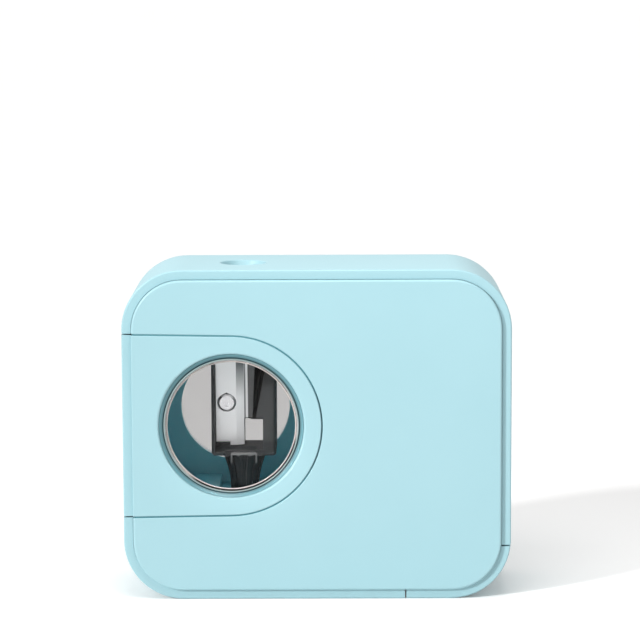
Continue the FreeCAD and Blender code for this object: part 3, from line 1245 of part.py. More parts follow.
motor_terminals = new_body("motor_terminals", "Layout.motor_x", several=True)
terminal_y = "Sizes.strap_width / 2 + Sizes.terminal_width"
for side in ("", "-"):
    centre = f"{side}({terminal_y})"
    box(motor_terminals, "Additive", symmetric("Sizes.terminal_width / 2"),
        (f"{centre} - Sizes.terminal_thickness / 2", f"{centre} + Sizes.terminal_thickness / 2"),
        ("Layout.end_cap_top", "Layout.end_cap_top + Sizes.terminal_height"))

# Cells, contacts and door


def round_cell(label, y, nub_up):
    """A round cell standing on end, with its raised cap at the top or the bottom."""
    body = new_body(label, "Layout.cell_x")
    nub = "Sizes.cell_nub_height"
    span = ("Layout.cell_bottom", f"Layout.cell_top - {nub}")
    cap = (f"Layout.cell_top - {nub}", "Layout.cell_top")
    if not nub_up:
        span = (f"Layout.cell_bottom + {nub}", "Layout.cell_top")
        cap = ("Layout.cell_bottom", f"Layout.cell_bottom + {nub}")
    cylinder(body, "Additive", "Z", ("0", y), "Sizes.cell_diameter / 2", span)
    round_edges(body, "Sizes.cell_edge_round", lambda edge: edge.Closed)
    cylinder(body, "Additive", "Z", ("0", y), "Sizes.cell_nub_radius", cap)


front_y, rear_y = symmetric("Layout.cell_y")
round_cell("battery_front", front_y, True)
round_cell("battery_rear", rear_y, False)

contact_span = ("Layout.deck_bottom - Sizes.contact_thickness", "Layout.deck_bottom")
half_contact = "Sizes.contact_width / 2"


def contact_plate(body, y):
    """A square metal plate against the deck, over one cell."""
    box(body, "Additive", symmetric(half_contact), (f"{y} - {half_contact}", f"{y} + {half_contact}"),
        contact_span)


flat_contact = new_body("flat_contact", "Layout.cell_x")
contact_plate(flat_contact, front_y)
cylinder(flat_contact, "Additive", "Z", ("0", front_y), "Sizes.contact_bump_radius",
         ("Layout.cell_top + Sizes.touch_gap", "Layout.deck_bottom - Sizes.contact_thickness"))
spring_contact = new_body("spring_contact", "Layout.cell_x")
contact_plate(spring_contact, rear_y)
spring = coil_spring(SIZES["battery_spring_radius"], SIZES["battery_spring_wire_radius"],
                     SIZES["battery_spring_turns"], value_of("Layout.cell_top + Sizes.touch_gap"),
                     value_of("Layout.deck_bottom - Sizes.contact_thickness"))
battery_spring = new_shape("battery_spring", spring, "Layout.cell_x")
battery_spring.setExpression("Placement.Base.y", rear_y)

battery_door = new_body("battery_door")
ring_band(battery_door)
all_depth = symmetric(f"Layout.ring_face + {MARGIN}")
box(battery_door, "Subtractive", (f"Layout.left_face - {MARGIN}", "Layout.door_x + Sizes.seam_gap"),
    all_depth,
    (f"-{MARGIN}", f"Layout.case_height + {MARGIN}"))
box(battery_door, "Subtractive", ("Layout.door_x", f"Layout.right_face + {MARGIN}"), all_depth,
    ("Sizes.door_height - Sizes.seam_gap", f"Layout.case_height + {MARGIN}"))
tongue_y = symmetric("Sizes.tongue_width / 2")
tongue_foot = "Sizes.ring_wall + Sizes.tongue_gap"
tongue_head = f"{tongue_foot} + Sizes.tongue_thickness"
tongue_root = ("Layout.door_x + Sizes.seam_gap", "Layout.door_x + Sizes.seam_gap + Sizes.tongue_thickness")
box(battery_door, "Additive", tongue_root, tongue_y, ("Sizes.ring_wall / 2", tongue_head))
box(battery_door, "Additive", ("Layout.door_x - Sizes.tongue_length", tongue_root[1]), tongue_y,
    (tongue_foot, tongue_head))
for index in range(SIZES["grip_count"]):
    groove = f"Layout.door_x + 2 * Sizes.grip_pitch + {index} * Sizes.grip_pitch"
    box(battery_door, "Subtractive", (groove, f"{groove} + Sizes.grip_width"),
        symmetric("Sizes.tongue_width / 2"),
        (f"-{MARGIN}", "Sizes.grip_depth"))

half_strip = "Sizes.door_strip_width / 2"
strip_y = (f"{front_y} - {half_strip}", f"{rear_y} + {half_strip}")
pad_top = "Sizes.ring_wall + Sizes.door_pad_height"
box(battery_door, "Additive", (f"Layout.cell_x - {half_strip}", f"Layout.cell_x + {half_strip}"), strip_y,
    ("Sizes.ring_wall / 2", pad_top))

door_contact = new_body("door_contact", "Layout.cell_x")
box(door_contact, "Additive", symmetric(half_strip), strip_y, (pad_top,
                                                               f"{pad_top} + Sizes.contact_thickness"))
for y in (front_y, rear_y):
    cylinder(door_contact, "Additive", "Z", ("0", y), half_strip, (pad_top,
                                                                   "Layout.cell_bottom - Sizes.touch_gap"))

doc.recompute()

# Every object is sound before anything is written

for item in doc.Objects:
    bad = [state for state in item.State if state in ("Invalid", "Error")]
    if bad:
        raise RuntimeError(f"{item.Label} is {bad[0]}")
for piece in pieces:
    if piece.Shape.isNull() or not piece.Shape.isValid() or piece.Shape.Volume <= 0:
        raise RuntimeError(f"{piece.Label} has no sound shape")

os.makedirs("parts", exist_ok=True)
whole = FreeCAD.BoundBox()
for piece in pieces:
    piece.Shape.exportStep(f"parts/{piece.Label}.step")
    whole.add(piece.Shape.optimalBoundingBox())
print(f"{len(pieces)} pieces, {whole.XLength:.2f} x {whole.YLength:.2f} x {whole.ZLength:.2f} mm")
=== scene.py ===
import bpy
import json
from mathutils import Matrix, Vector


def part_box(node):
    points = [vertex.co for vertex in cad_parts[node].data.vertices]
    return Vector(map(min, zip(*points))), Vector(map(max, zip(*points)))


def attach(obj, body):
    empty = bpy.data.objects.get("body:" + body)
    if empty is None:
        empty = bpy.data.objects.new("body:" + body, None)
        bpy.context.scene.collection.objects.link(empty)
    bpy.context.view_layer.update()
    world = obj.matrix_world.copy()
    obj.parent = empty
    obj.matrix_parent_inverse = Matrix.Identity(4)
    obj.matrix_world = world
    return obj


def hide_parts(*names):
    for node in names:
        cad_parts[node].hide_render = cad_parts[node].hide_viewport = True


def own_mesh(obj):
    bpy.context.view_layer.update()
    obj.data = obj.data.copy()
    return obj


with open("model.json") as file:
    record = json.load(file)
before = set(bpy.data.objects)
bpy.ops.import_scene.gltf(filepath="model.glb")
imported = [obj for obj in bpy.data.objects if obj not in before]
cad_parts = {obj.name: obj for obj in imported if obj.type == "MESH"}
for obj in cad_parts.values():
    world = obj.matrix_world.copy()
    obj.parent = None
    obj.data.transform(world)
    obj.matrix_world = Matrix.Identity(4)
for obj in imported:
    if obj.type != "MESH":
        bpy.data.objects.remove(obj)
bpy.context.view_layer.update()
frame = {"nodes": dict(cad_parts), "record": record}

import json
import math
import bpy
import bmesh
from mathutils import Matrix, Vector

mm = 0.001
mergeStep = 0.001 * mm  # points closer than this are one point
noiseSpan = (0.3, 0.7)  # nearly all of a noise lies between these two
scene = bpy.context.scene
nodes = frame["nodes"]
print("frame loaded:", len(nodes), "solids")


# shared helpers

def plug(tree, value, socket):
    if hasattr(value, "links"):
        tree.links.new(value, socket)
    else:
        socket.default_value = value


def wire(tree, node, inputs):
    for socket, value in inputs.items():
        plug(tree, value, node.inputs[socket])
    return node


def addNode(tree, kind, inputs=None, **settings):
    node = tree.nodes.new(kind)
    for key, value in settings.items():
        setattr(node, key, value)
    return wire(tree, node, inputs or {})


def newGroup(name, inputs, outputs):
    group = bpy.data.node_groups.new(name, "ShaderNodeTree")
    for socket, value in inputs.items():
        kind = "NodeSocketVector" if isinstance(value, tuple) else "NodeSocketFloat"
        group.interface.new_socket(name=socket, in_out="INPUT", socket_type=kind).default_value = value
    for socket in outputs:
        group.interface.new_socket(name=socket, in_out="OUTPUT", socket_type="NodeSocketFloat")
    return group, group.nodes.new("NodeGroupInput").outputs, group.nodes.new("NodeGroupOutput")


def mathNode(tree, operation, first, second=0.0):
    return addNode(tree, "ShaderNodeMath", {0: first, 1: second}, operation=operation).outputs[0]


def vectorNode(tree, operation, first, second=(0.0, 0.0, 0.0)):
    node = addNode(tree, "ShaderNodeVectorMath", {0: first, 1: second}, operation=operation)
    return node.outputs["Value" if operation in ("LENGTH", "DOT_PRODUCT") else "Vector"]


def mixColour(tree, mask, first, second):
    # a Mix node's colour sockets come after its plain ones
    return addNode(tree, "ShaderNodeMix", {0: mask, 6: first, 7: second}, data_type="RGBA").outputs[2]


def spread(tree, value, fromLow, fromHigh, toLow, toHigh):
    inputs = {0: value, 1: fromLow, 2: fromHigh, 3: toLow, 4: toHigh}
    return addNode(tree, "ShaderNodeMapRange", inputs).outputs[0]


def overNoise(tree, value, low, high):
    return spread(tree, value, *noiseSpan, low, high)


def objectPlace(tree):
    return addNode(tree, "ShaderNodeTexCoord").outputs["Object"]


def noiseNode(tree, place, size, detail, roughness):
    # patches about size across
    scale = mathNode(tree, "DIVIDE", 1.0, size)
    inputs = {"Vector": place, "Scale": scale, "Detail": detail, "Roughness": roughness}
    return addNode(tree, "ShaderNodeTexNoise", inputs).outputs["Fac"]


# moulding grain: fine tooth of the mould wall and a slow drift over the whole piece
grainGroup, grainIn, grainOut = newGroup(
    "mouldingGrain", {"Size": 0.4 * mm, "Drift": 18 * mm}, ["Height", "Drift"])
grainPlace = objectPlace(grainGroup)
wire(grainGroup, grainOut, {
    "Height": noiseNode(grainGroup, grainPlace, grainIn["Size"], detail=3.0, roughness=0.6),
    "Drift": noiseNode(grainGroup, grainPlace, grainIn["Drift"], detail=2.0, roughness=0.5)})

# rubbed edges, made lighter: partly wear and partly painted sheen, where the rounded normal leaves the true
# one, broken into patches
edgeRubAndSheen = {"flat": 0.995, "turned": 0.8, "patchStart": 0.42, "patchFull": 0.62}
edgeGroup, edgeIn, edgeOut = newGroup("rubbedEdgesAndSheen", {"Width": 0.3 * mm, "Size": 3 * mm}, ["Mask"])
edgeRound = addNode(edgeGroup, "ShaderNodeBevel", {"Radius": edgeIn["Width"]}, samples=4)
edgeTrue = addNode(edgeGroup, "ShaderNodeNewGeometry")
edgeDot = vectorNode(edgeGroup, "DOT_PRODUCT", edgeRound.outputs["Normal"], edgeTrue.outputs["Normal"])
edgeLift = spread(edgeGroup, edgeDot, edgeRubAndSheen["flat"], edgeRubAndSheen["turned"], 0.0, 1.0)
edgeBreak = noiseNode(edgeGroup, objectPlace(edgeGroup), edgeIn["Size"], detail=4.0, roughness=0.65)
edgePatch = spread(edgeGroup, edgeBreak, edgeRubAndSheen["patchStart"], edgeRubAndSheen["patchFull"], 0.0, 1.0)
wire(edgeGroup, edgeOut, {"Mask": mathNode(edgeGroup, "MULTIPLY", edgeLift, edgePatch)})

# tool lines: streaks that run along one axis, for ground, drawn and turned metal
streakGroup, streakIn, streakOut = newGroup(
    "toolLines", {"Stretch": (1.0, 1.0, 0.04), "Size": 0.15 * mm}, ["Lines"])
streakPlace = vectorNode(streakGroup, "MULTIPLY", objectPlace(streakGroup), streakIn["Stretch"])
streakNoise = noiseNode(streakGroup, streakPlace, streakIn["Size"], detail=4.0, roughness=0.7)
wire(streakGroup, streakOut, {"Lines": streakNoise})

# distance from an axis that runs front to back, for anything that changes round the window
roundGroup, roundIn, roundOut = newGroup("roundTheWindow", {"Centre": (0.0, 0.0, 0.0)}, ["Radius"])
roundStep = vectorNode(roundGroup, "SUBTRACT", objectPlace(roundGroup), roundIn["Centre"])
roundFlat = vectorNode(roundGroup, "MULTIPLY", roundStep, (1.0, 0.0, 1.0))
wire(roundGroup, roundOut, {"Radius": vectorNode(roundGroup, "LENGTH", roundFlat)})
print("shader groups ready")


def newMaterial(name):
    material = bpy.data.materials.new(name)
    material.use_nodes = True
    return material, material.node_tree, material.node_tree.nodes["Principled BSDF"]


def placeGroup(tree, group, inputs):
    return addNode(tree, "ShaderNodeGroup", inputs, node_tree=group).outputs


def bumpNode(tree, height, depth, strength):
    inputs = {"Height": height, "Distance": depth, "Strength": strength}
    return addNode(tree, "ShaderNodeBump", inputs).outputs["Normal"]


def boxMask(tree, low, high, soft):
    # one inside a box of the part's frame, fading to nought over soft on each axis
    split = addNode(tree, "ShaderNodeSeparateXYZ", {0: objectPlace(tree)}).outputs
    mask = None
    for axis in range(3):
        rise = spread(tree, split[axis], low[axis] - soft[axis], low[axis], 0.0, 1.0)
        fall = spread(tree, split[axis], high[axis], high[axis] + soft[axis], 1.0, 0.0)
        both = mathNode(tree, "MULTIPLY", rise, fall)
        mask = both if mask is None else mathNode(tree, "MULTIPLY", mask, both)
    return mask


def paintZones(tree, body, zones):
    # stretches with a colour of their own: low corner, high corner, softness, colour
    for low, high, soft, tint in zones:
        body = mixColour(tree, boxMask(tree, low, high, soft), body, (*tint, 1))
    return body


def makePlastic(name, own):
    look = {**plasticBase, **own}
    material, tree, shader = newMaterial(name)
    grain = placeGroup(tree, grainGroup, {"Size": look["grainSize"], "Drift": look["driftSize"]})
    edges = placeGroup(tree, edgeGroup, {"Width": look["edgeWidth"], "Size": look["edgePatch"]})
    drift = overNoise(tree, grain["Drift"], 0.0, 1.0)
    body = mixColour(tree, drift, (*look["colour"], 1), (*look["shade"], 1))
    body = paintZones(tree, body, look.get("zones", []))
    # painted shade and a painted highlight, in rings round the window
    if "paintedRings" in look:  # colour that changes from the rim inwards
        ring = placeGroup(tree, roundGroup, {"Centre": look["ringCentre"]})
        for outer, inner, tint in look["paintedRings"]:
            band = spread(tree, ring["Radius"], outer, inner, 0.0, 1.0)
            body = mixColour(tree, band, body, (*tint, 1))
    rubbedAndSheen = mathNode(tree, "MULTIPLY", edges["Mask"], look["edgeShow"])
    tooth = overNoise(tree, grain["Height"], *look["roughness"])
    worn = mathNode(tree, "MULTIPLY", rubbedAndSheen, look["edgeGloss"])
    wire(tree, shader, {
        "Base Color": mixColour(tree, rubbedAndSheen, body, (*look["edgeWearAndSheen"], 1)),
        "Roughness": mathNode(tree, "SUBTRACT", tooth, worn), "IOR": look["ior"],
        "Normal": bumpNode(tree, grain["Height"], look["grainDepth"], look["grainShow"])})
    return material


def makeMetal(name, own):
    look = {**metalBase, **own}
    material, tree, shader = newMaterial(name)
    streaks = placeGroup(tree, streakGroup, {"Stretch": look["stretch"], "Size": look["lineSize"]})["Lines"]
    edges = placeGroup(tree, edgeGroup, {"Width": look["edgeWidth"], "Size": look["edgePatch"]})
    line = overNoise(tree, streaks, 0.0, 1.0)
    body = mixColour(tree, line, (*look["colour"], 1), (*look["shade"], 1))
    body = paintZones(tree, body, look.get("zones", []))
    wire(tree, shader, {
        "Base Color": mixColour(tree, edges["Mask"], body, (*look["edgeWearAndSheen"], 1)),
        "Roughness": overNoise(tree, streaks, *look["roughness"]), "Metallic": look["metallic"],
        "Normal": bumpNode(tree, streaks, look["lineDepth"], look["lineShow"])})
    return material


def makeClear(name, own):
    look = {**clearBase, **own}
    material, tree, shader = newMaterial(name)
    grain = placeGroup(tree, grainGroup, {"Size": look["grainSize"], "Drift": look["driftSize"]})
    wire(tree, shader, {
        "Base Color": (*look["colour"], 1), "Transmission Weight": 1.0, "IOR": look["ior"],
        "Roughness": overNoise(tree, grain["Drift"], *look["roughness"]),
        "Normal": bumpNode(tree, grain["Drift"], look["waveDepth"], look["waveShow"])})
    ray = addNode(tree, "ShaderNodeLightPath").outputs  # light falls straight through on to what is behind
    passing = mathNode(tree, "MAXIMUM", ray["Is Shadow Ray"], ray["Is Diffuse Ray"])
    straight = addNode(tree, "ShaderNodeBsdfTransparent", {"Color": (*look["passesLight"], 1)})
    join = addNode(tree, "ShaderNodeMixShader", {0: passing, 1: shader.outputs[0], 2: straight.outputs[0]})
    wire(tree, tree.nodes["Material Output"], {"Surface": join.outputs[0]})
    return material


def tones(body, drift, edge):
    # the main colour, the one it drifts to and that of rubbed edges, which is wear and painted sheen
    return {"colour": body, "shade": drift, "edgeWearAndSheen": edge}


plasticBase = {
    "grainSize": 0.25 * mm, "grainDepth": 0.01 * mm, "grainShow": 0.25, "driftSize": 22 * mm,
    "edgeWidth": 0.25 * mm, "edgePatch": 4 * mm, "edgeShow": 0.3, "edgeGloss": 0.1, "ior": 1.5,
    "roughness": (0.38, 0.5)}
metalBase = {
    "stretch": (1.0, 1.0, 0.05), "lineSize": 0.2 * mm, "lineDepth": 0.004 * mm, "lineShow": 0.3,
    "edgeWidth": 0.1 * mm, "edgePatch": 2 * mm, "roughness": (0.22, 0.38), "metallic": 1.0}
clearBase = {
    "grainSize": 0.4 * mm, "driftSize": 9 * mm, "waveDepth": 0.01 * mm, "waveShow": 0.04,
    "roughness": (0.0, 0.015), "ior": 1.15, "passesLight": (1.0, 1.0, 1.0)}
shellLook = tones((0.312, 0.51, 0.558), (0.302, 0.5, 0.548), (0.4, 0.6, 0.65))
crisp = (0.05 * mm,) * 3

# the inside of the drawer is painted a deeper, more saturated teal: painted shade for the walls inside
bezelLow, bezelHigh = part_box("window_bezel")
windowCentre = (Vector(bezelLow) + Vector(bezelHigh)) / 2
drawerLow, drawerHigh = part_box("drawer")
inside = {"wall": 2.0 * mm, "rim": 0.3 * mm, "floor": 0.9 * mm, "fade": (0.2 * mm,) * 3,
          "colour": (0.24, 0.67, 0.76)}
insideLow = (drawerLow[0] + inside["wall"], bezelHigh[1] - inside["rim"], drawerLow[2] + inside["floor"])
insideHigh = (drawerHigh[0] + inside["wall"], inside["rim"] - bezelHigh[1], drawerHigh[2] - inside["floor"])

# painted shade on the blade: its upper bevel is darkened as a painted dark reflection, and a line at the
# foot of its lip as painted shade in the crease
bladeLow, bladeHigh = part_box("cutter_blade")
bladeWidth = 6.2
edgeX = bladeLow[0] + bladeWidth * mm
bladeShade = {"gap": 0.05 * mm, "top": 60 * mm,
         "bevel": 1.62 * mm, "bevelFoot": 50.5 * mm, "bevelFade": (0.1 * mm, mm, 8 * mm),
         "bevelShade": (0.1, 0.115, 0.12),
         "line": 0.33 * mm, "lineFoot": 30 * mm, "lineFade": (0.06 * mm, mm, mm),
         "lineShade": (0.2, 0.21, 0.215)}
bladePaintedShade = [
    ((edgeX - bladeShade["bevel"], bladeLow[1], bladeShade["bevelFoot"]),
     (edgeX - bladeShade["gap"], bladeHigh[1], bladeShade["top"]), bladeShade["bevelFade"], bladeShade["bevelShade"]),
    ((edgeX + bladeShade["gap"], bladeLow[1], bladeShade["lineFoot"]),
     (edgeX + bladeShade["line"], bladeHigh[1], bladeShade["top"]), bladeShade["lineFade"], bladeShade["lineShade"])]

# the cells have a copper band and a steel nub; the front one stands nub up, the rear one nub down
cellLow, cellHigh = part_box("battery_front")
rearCellLow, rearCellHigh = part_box("battery_rear")
cell = {"band": 13 * mm, "nub": 1.4 * mm, "copper": (0.5, 0.25, 0.1), "steel": (0.5, 0.5, 0.51)}
cellBands = []
for tall, tint in ((cell["band"], cell["copper"]), (cell["nub"], cell["steel"])):
    cellBands.append(((cellLow[0], cellLow[1], cellHigh[2] - tall), cellHigh, crisp, tint))
    cellBands.append((rearCellLow, (rearCellHigh[0], rearCellHigh[1], rearCellLow[2] + tall), crisp, tint))

# the sharpening block is painted near black inside as painted shade, and darker at its foot
holderLow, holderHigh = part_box("cutter_holder")
holderFace = 5.6 * mm  # half its depth; the round cap above stands out further
holder = {"wall": 0.6 * mm, "skin": 0.1 * mm, "heel": 2.1 * mm, "foot": 3.1 * mm,
          "footFade": (0.3 * mm,) * 3, "inside": (0.005, 0.005, 0.0055),
          "footColour": (0.016, 0.018, 0.019)}
holderZones = [
    ((holderLow[0] + holder["wall"], holder["skin"] - holderFace, holderLow[2] + holder["wall"]),
     (holderHigh[0] - holder["wall"], holderFace - holder["skin"], holderHigh[2]),
     crisp, holder["inside"]),
    ((holderLow[0] + holder["heel"], holderLow[1] - mm, holderLow[2]),
     (holderHigh[0] + mm, holderHigh[1] + mm, holderLow[2] + holder["foot"]),
     holder["footFade"], holder["footColour"])]

finishes = {
    "case_plastic": makePlastic("paleBlueShell", shellLook),
    # the bezel's dark teal is painted shade of the window's rolled edge; its rings paint deeper shade on
    # the cone, painted shade in the groove and a painted highlight on the bead
    "bezel_plastic": makePlastic("bezelPaintedShade", {
        **tones((0.122, 0.282, 0.325), (0.113, 0.264, 0.304), (0.19, 0.36, 0.41)),
        "roughness": (0.3, 0.4), "edgeShow": 0.1, "ringCentre": windowCentre,
        "paintedRings": [(15.3 * mm, 14.95 * mm, (0.09, 0.185, 0.21)),  # from radius, to radius, colour
                  (14.9 * mm, 14.84 * mm, (0.012, 0.05, 0.06)),
                  (14.66 * mm, 14.6 * mm, (0.26, 0.33, 0.33))]}),
    "inner_plastic": makePlastic(
        "innerMoulding", tones((0.2, 0.44, 0.5), (0.18, 0.41, 0.47), (0.35, 0.58, 0.64))),
    "cutter_plastic": makePlastic(
        "blackMoulding", tones((0.045, 0.046, 0.048), (0.036, 0.037, 0.039), (0.12, 0.12, 0.12))),
    "gear_plastic": makePlastic(
        "naturalAcetal", tones((0.78, 0.77, 0.72), (0.72, 0.7, 0.64), (0.85, 0.84, 0.8))),
    "motor_plastic": makePlastic(
        "blackEndCap", tones((0.03, 0.03, 0.033), (0.02, 0.02, 0.022), (0.1, 0.1, 0.1))),
    "switch_plastic": makePlastic(
        "whiteButton", tones((0.8, 0.8, 0.77), (0.75, 0.75, 0.72), (0.85, 0.85, 0.83))),
    "motor_ferrite": makePlastic(
        "sinteredFerrite", tones((0.05, 0.05, 0.055), (0.035, 0.035, 0.04), (0.12, 0.12, 0.12))),
    "cell_label": makePlastic("cellSleeve", {
        **tones((0.05, 0.06, 0.07), (0.045, 0.05, 0.06), (0.2, 0.2, 0.2)),
        "zones": cellBands}),
    # the blade's darker upper bevel and lip line are painted shade
    "blade_steel": makeMetal("groundSteel", {
        **tones((0.85, 0.86, 0.87), (0.82, 0.83, 0.84), (0.92, 0.92, 0.92)),
        "lineSize": 0.12 * mm, "lineShow": 0.02, "roughness": (0.36, 0.42), "metallic": 0.3,
        "zones": bladePaintedShade}),
    "bright_steel": makeMetal(
        "platedSteel", tones((0.7, 0.7, 0.71), (0.6, 0.6, 0.62), (0.8, 0.8, 0.8))),
    "bearing_brass": makeMetal(
        "turnedBrass", tones((0.72, 0.52, 0.22), (0.62, 0.43, 0.17), (0.85, 0.68, 0.4))),
    "rotor_steel": makeMetal("laminatedRotor", {
        **tones((0.5, 0.48, 0.46), (0.3, 0.29, 0.28), (0.6, 0.58, 0.56)),
        "stretch": (0.05, 0.05, 1.0)}),
    "window_plastic": makeClear("clearLens", {"colour": (0.95, 0.945, 0.945)}),
}
smokedLens = makeClear("smokedLens", {"colour": (0.55, 0.548, 0.548)})
# the drawer carries the painted shade of its inside
drawerFinish = makePlastic("paleBlueDrawer", {
    **shellLook, "zones": [(insideLow, insideHigh, inside["fade"], inside["colour"])]})
# the holder is painted near black inside as painted shade
holderFinish = makePlastic("holderPaintedShade", {
    **tones((0.043, 0.045, 0.046), (0.037, 0.039, 0.04), (0.09, 0.09, 0.09)),
    "roughness": (0.55, 0.68), "ior": 1.36, "zones": holderZones})
for subpart in frame["record"]["subparts"]:
    node = nodes[subpart["node"]]
    node.data.materials.clear()
    node.data.materials.append(finishes[subpart["material_slot"]])
nodes["drawer"].data.materials[0] = drawerFinish
nodes["cutter_holder"].data.materials[0] = holderFinish
print("finishes ready:", len(finishes), "slots")


# mesh and geometry-node tools

def addPiece(name, mesh, material):
    piece = bpy.data.objects.new(name, mesh)
    scene.collection.objects.link(piece)
    if material is not None:
        mesh.materials.clear()
        mesh.materials.append(material)
    return piece


def settle(piece):
    # the evaluated shape as a plain mesh, with nothing live left on the piece
    seen = piece.evaluated_get(bpy.context.evaluated_depsgraph_get())
    plain = bpy.data.meshes.new_from_object(seen)
    piece.modifiers.clear()
    piece.data = plain
    return piece


def tidyMesh(piece, sharpAngle=35):
    build = bmesh.new()
    build.from_mesh(piece.data)
    bmesh.ops.remove_doubles(build, verts=build.verts, dist=mergeStep)
    bmesh.ops.recalc_face_normals(build, faces=build.faces)
    build.to_mesh(piece.data)
    build.free()
    piece.data.polygons.foreach_set("use_smooth", [True] * len(piece.data.polygons))
    piece.data.set_sharp_from_angle(angle=math.radians(sharpAngle))
    return piece


def meshFrom(name, build):
    bmesh.ops.recalc_face_normals(build, faces=build.faces)
    mesh = bpy.data.meshes.new(name)
    build.to_mesh(mesh)
    build.free()
    return mesh


def prismMesh(name, outline, low, high, place):
    build = bmesh.new()
    bottom = [build.verts.new(place @ Vector((x, y, low))) for x, y in outline]
    top = [build.verts.new(place @ Vector((x, y, high))) for x, y in outline]
    build.faces.new(bottom[::-1])
    build.faces.new(top)
    for index in range(len(outline)):
        after = (index + 1) % len(outline)
        build.faces.new((bottom[index], bottom[after], top[after], top[index]))
    return meshFrom(name, build)


def prismPiece(name, outline, low, high, place, finish):
    return addPiece(name, prismMesh(name, outline, low, high, place), finish)


def pointMesh(name, points, links=()):
    mesh = bpy.data.meshes.new(name)
    mesh.from_pydata(points, links, [])
    return mesh


def soften(piece, width, segments):
    bevel = piece.modifiers.new("soften", "BEVEL")
    bevel.width = width * mm
    bevel.segments = segments
    return tidyMesh(settle(piece), sharpAngle=30)


def carve(piece, tool, operation="DIFFERENCE"):
    cut = piece.modifiers.new("carve", "BOOLEAN")
    cut.operation = operation
    cut.object = tool
    cut.solver = "EXACT"
    settle(piece)
    bpy.data.objects.remove(tool)


def dress(piece, body, node=None):
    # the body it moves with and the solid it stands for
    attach(piece, body)
    if node:
        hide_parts(node)


def newShapeTree(name, inputs):
    tree = bpy.data.node_groups.new(name, "GeometryNodeTree")
    tree.interface.new_socket(name="Geometry", in_out="INPUT", socket_type="NodeSocketGeometry")
    for label, kind in inputs.items():
        tree.interface.new_socket(name=label, in_out="INPUT", socket_type="NodeSocket" + kind)
    tree.interface.new_socket(name="Geometry", in_out="OUTPUT", socket_type="NodeSocketGeometry")
    return tree, tree.nodes.new("NodeGroupInput").outputs, tree.nodes.new("NodeGroupOutput")


def endTree(tree, geometry, finish, treeOut):
    realize = addNode(tree, "GeometryNodeRealizeInstances", {"Geometry": geometry})
    paint = addNode(tree, "GeometryNodeSetMaterial", {
        "Geometry": realize.outputs["Geometry"], "Material": finish})
    wire(tree, treeOut, {"Geometry": paint.outputs["Geometry"]})


def grow(name, mesh, tree, values):
    piece = addPiece(name, mesh, None)
    grower = piece.modifiers.new(name, "NODES")
    grower.node_group = tree
    for item in tree.interface.items_tree:
        if item.in_out == "INPUT" and item.name in values:
            grower[item.identifier] = values[item.name]
    return settle(piece)


def treeVector(tree, x=0.0, y=0.0, z=0.0):
    return addNode(tree, "ShaderNodeCombineXYZ", {0: x, 1: y, 2: z}).outputs[0]


def treeMove(tree, geometry, offset, turn=(0.0, 0.0, 0.0)):
    inputs = {"Geometry": geometry, "Translation": offset, "Rotation": turn}
    return addNode(tree, "GeometryNodeTransform", inputs).outputs["Geometry"]


def treeCone(tree, low, high, depth, sides):
    inputs = {"Vertices": sides, "Radius Bottom": low, "Radius Top": high, "Depth": depth}
    return addNode(tree, "GeometryNodeMeshCone", inputs).outputs["Mesh"]


def treeSpiral(tree, radius, height, turns, steps):
    inputs = {"Resolution": steps, "Rotations": turns, "Start Radius": radius, "End Radius": radius,
              "Height": height}
    return addNode(tree, "GeometryNodeCurveSpiral", inputs).outputs["Curve"]


def treeWire(tree, path, radius, sides):
    section = addNode(tree, "GeometryNodeCurvePrimitiveCircle", {"Resolution": sides, "Radius": radius})
    sweep = addNode(tree, "GeometryNodeCurveToMesh", {
        "Curve": path, "Profile Curve": section.outputs["Curve"], "Fill Caps": True})
    return sweep.outputs["Mesh"]


# a turned shape: the base mesh is its half section, as (radius - 1 m, depth), swept round a circle of 1 m
turnTree, turnIn, turnOut = newShapeTree("turnedShape", {
    "Steps": "Int", "Turn": "Vector", "Place": "Vector", "Finish": "Material"})
turnSection = addNode(turnTree, "GeometryNodeMeshToCurve", {"Mesh": turnIn["Geometry"]})
turnPath = addNode(turnTree, "GeometryNodeCurvePrimitiveCircle", {
    "Radius": 1.0, "Resolution": turnIn["Steps"]})
turnSweep = addNode(turnTree, "GeometryNodeCurveToMesh", {
    "Curve": turnPath.outputs["Curve"], "Profile Curve": turnSection.outputs["Curve"]})
turnMerge = addNode(turnTree, "GeometryNodeMergeByDistance", {
    "Geometry": turnSweep.outputs["Mesh"], "Distance": 2 * mergeStep})
turnMove = treeMove(turnTree, turnMerge.outputs["Geometry"], turnIn["Place"], turnIn["Turn"])
endTree(turnTree, turnMove, turnIn["Finish"], turnOut)


def turned(name, section, finish, place, turn=(math.pi / 2, 0, 0), steps=160, closed=True):
    # section points are (radius, depth along the axis) in millimetres; the plain turn faces front to back
    points = [(radius * mm - 1.0, depth * mm, 0.0) for radius, depth in section]
    links = [(index, index + 1) for index in range(len(points) - 1)]
    if closed:
        links.append((len(points) - 1, 0))
    piece = grow(name, pointMesh(name, points, links), turnTree, {
        "Steps": steps, "Turn": turn, "Place": place, "Finish": finish})
    return tidyMesh(piece)


# window bezel: a cone down to a fine groove, with a pale bead at its inner edge
bezel = {"outer": 15.62, "inner": 14.33, "front": -15.6, "back": -13.4, "edge": 0.05,
         "coneFoot": (14.86, -14.98), "groove": (14.74, -14.9), "bead": (14.46, -15.1),
         "beadSize": 0.13, "beadSteps": 8}
bezelSection = [(bezel["outer"], bezel["back"]), (bezel["outer"], bezel["front"] + bezel["edge"]),
                (bezel["outer"] - bezel["edge"], bezel["front"]), bezel["coneFoot"], bezel["groove"]]
for step in range(bezel["beadSteps"] + 1):
    angle = math.pi * step / bezel["beadSteps"]
    bezelSection.append((bezel["bead"][0] + bezel["beadSize"] * math.cos(angle),
                         bezel["bead"][1] - bezel["beadSize"] * math.sin(angle)))
bezelSection.append((bezel["inner"], bezel["back"]))
axisPlace = (windowCentre.x, 0.0, windowCentre.z)
windowRing = turned("window_ring", bezelSection, finishes["bezel_plastic"], axisPlace)
dress(windowRing, "drawer", "window_bezel")
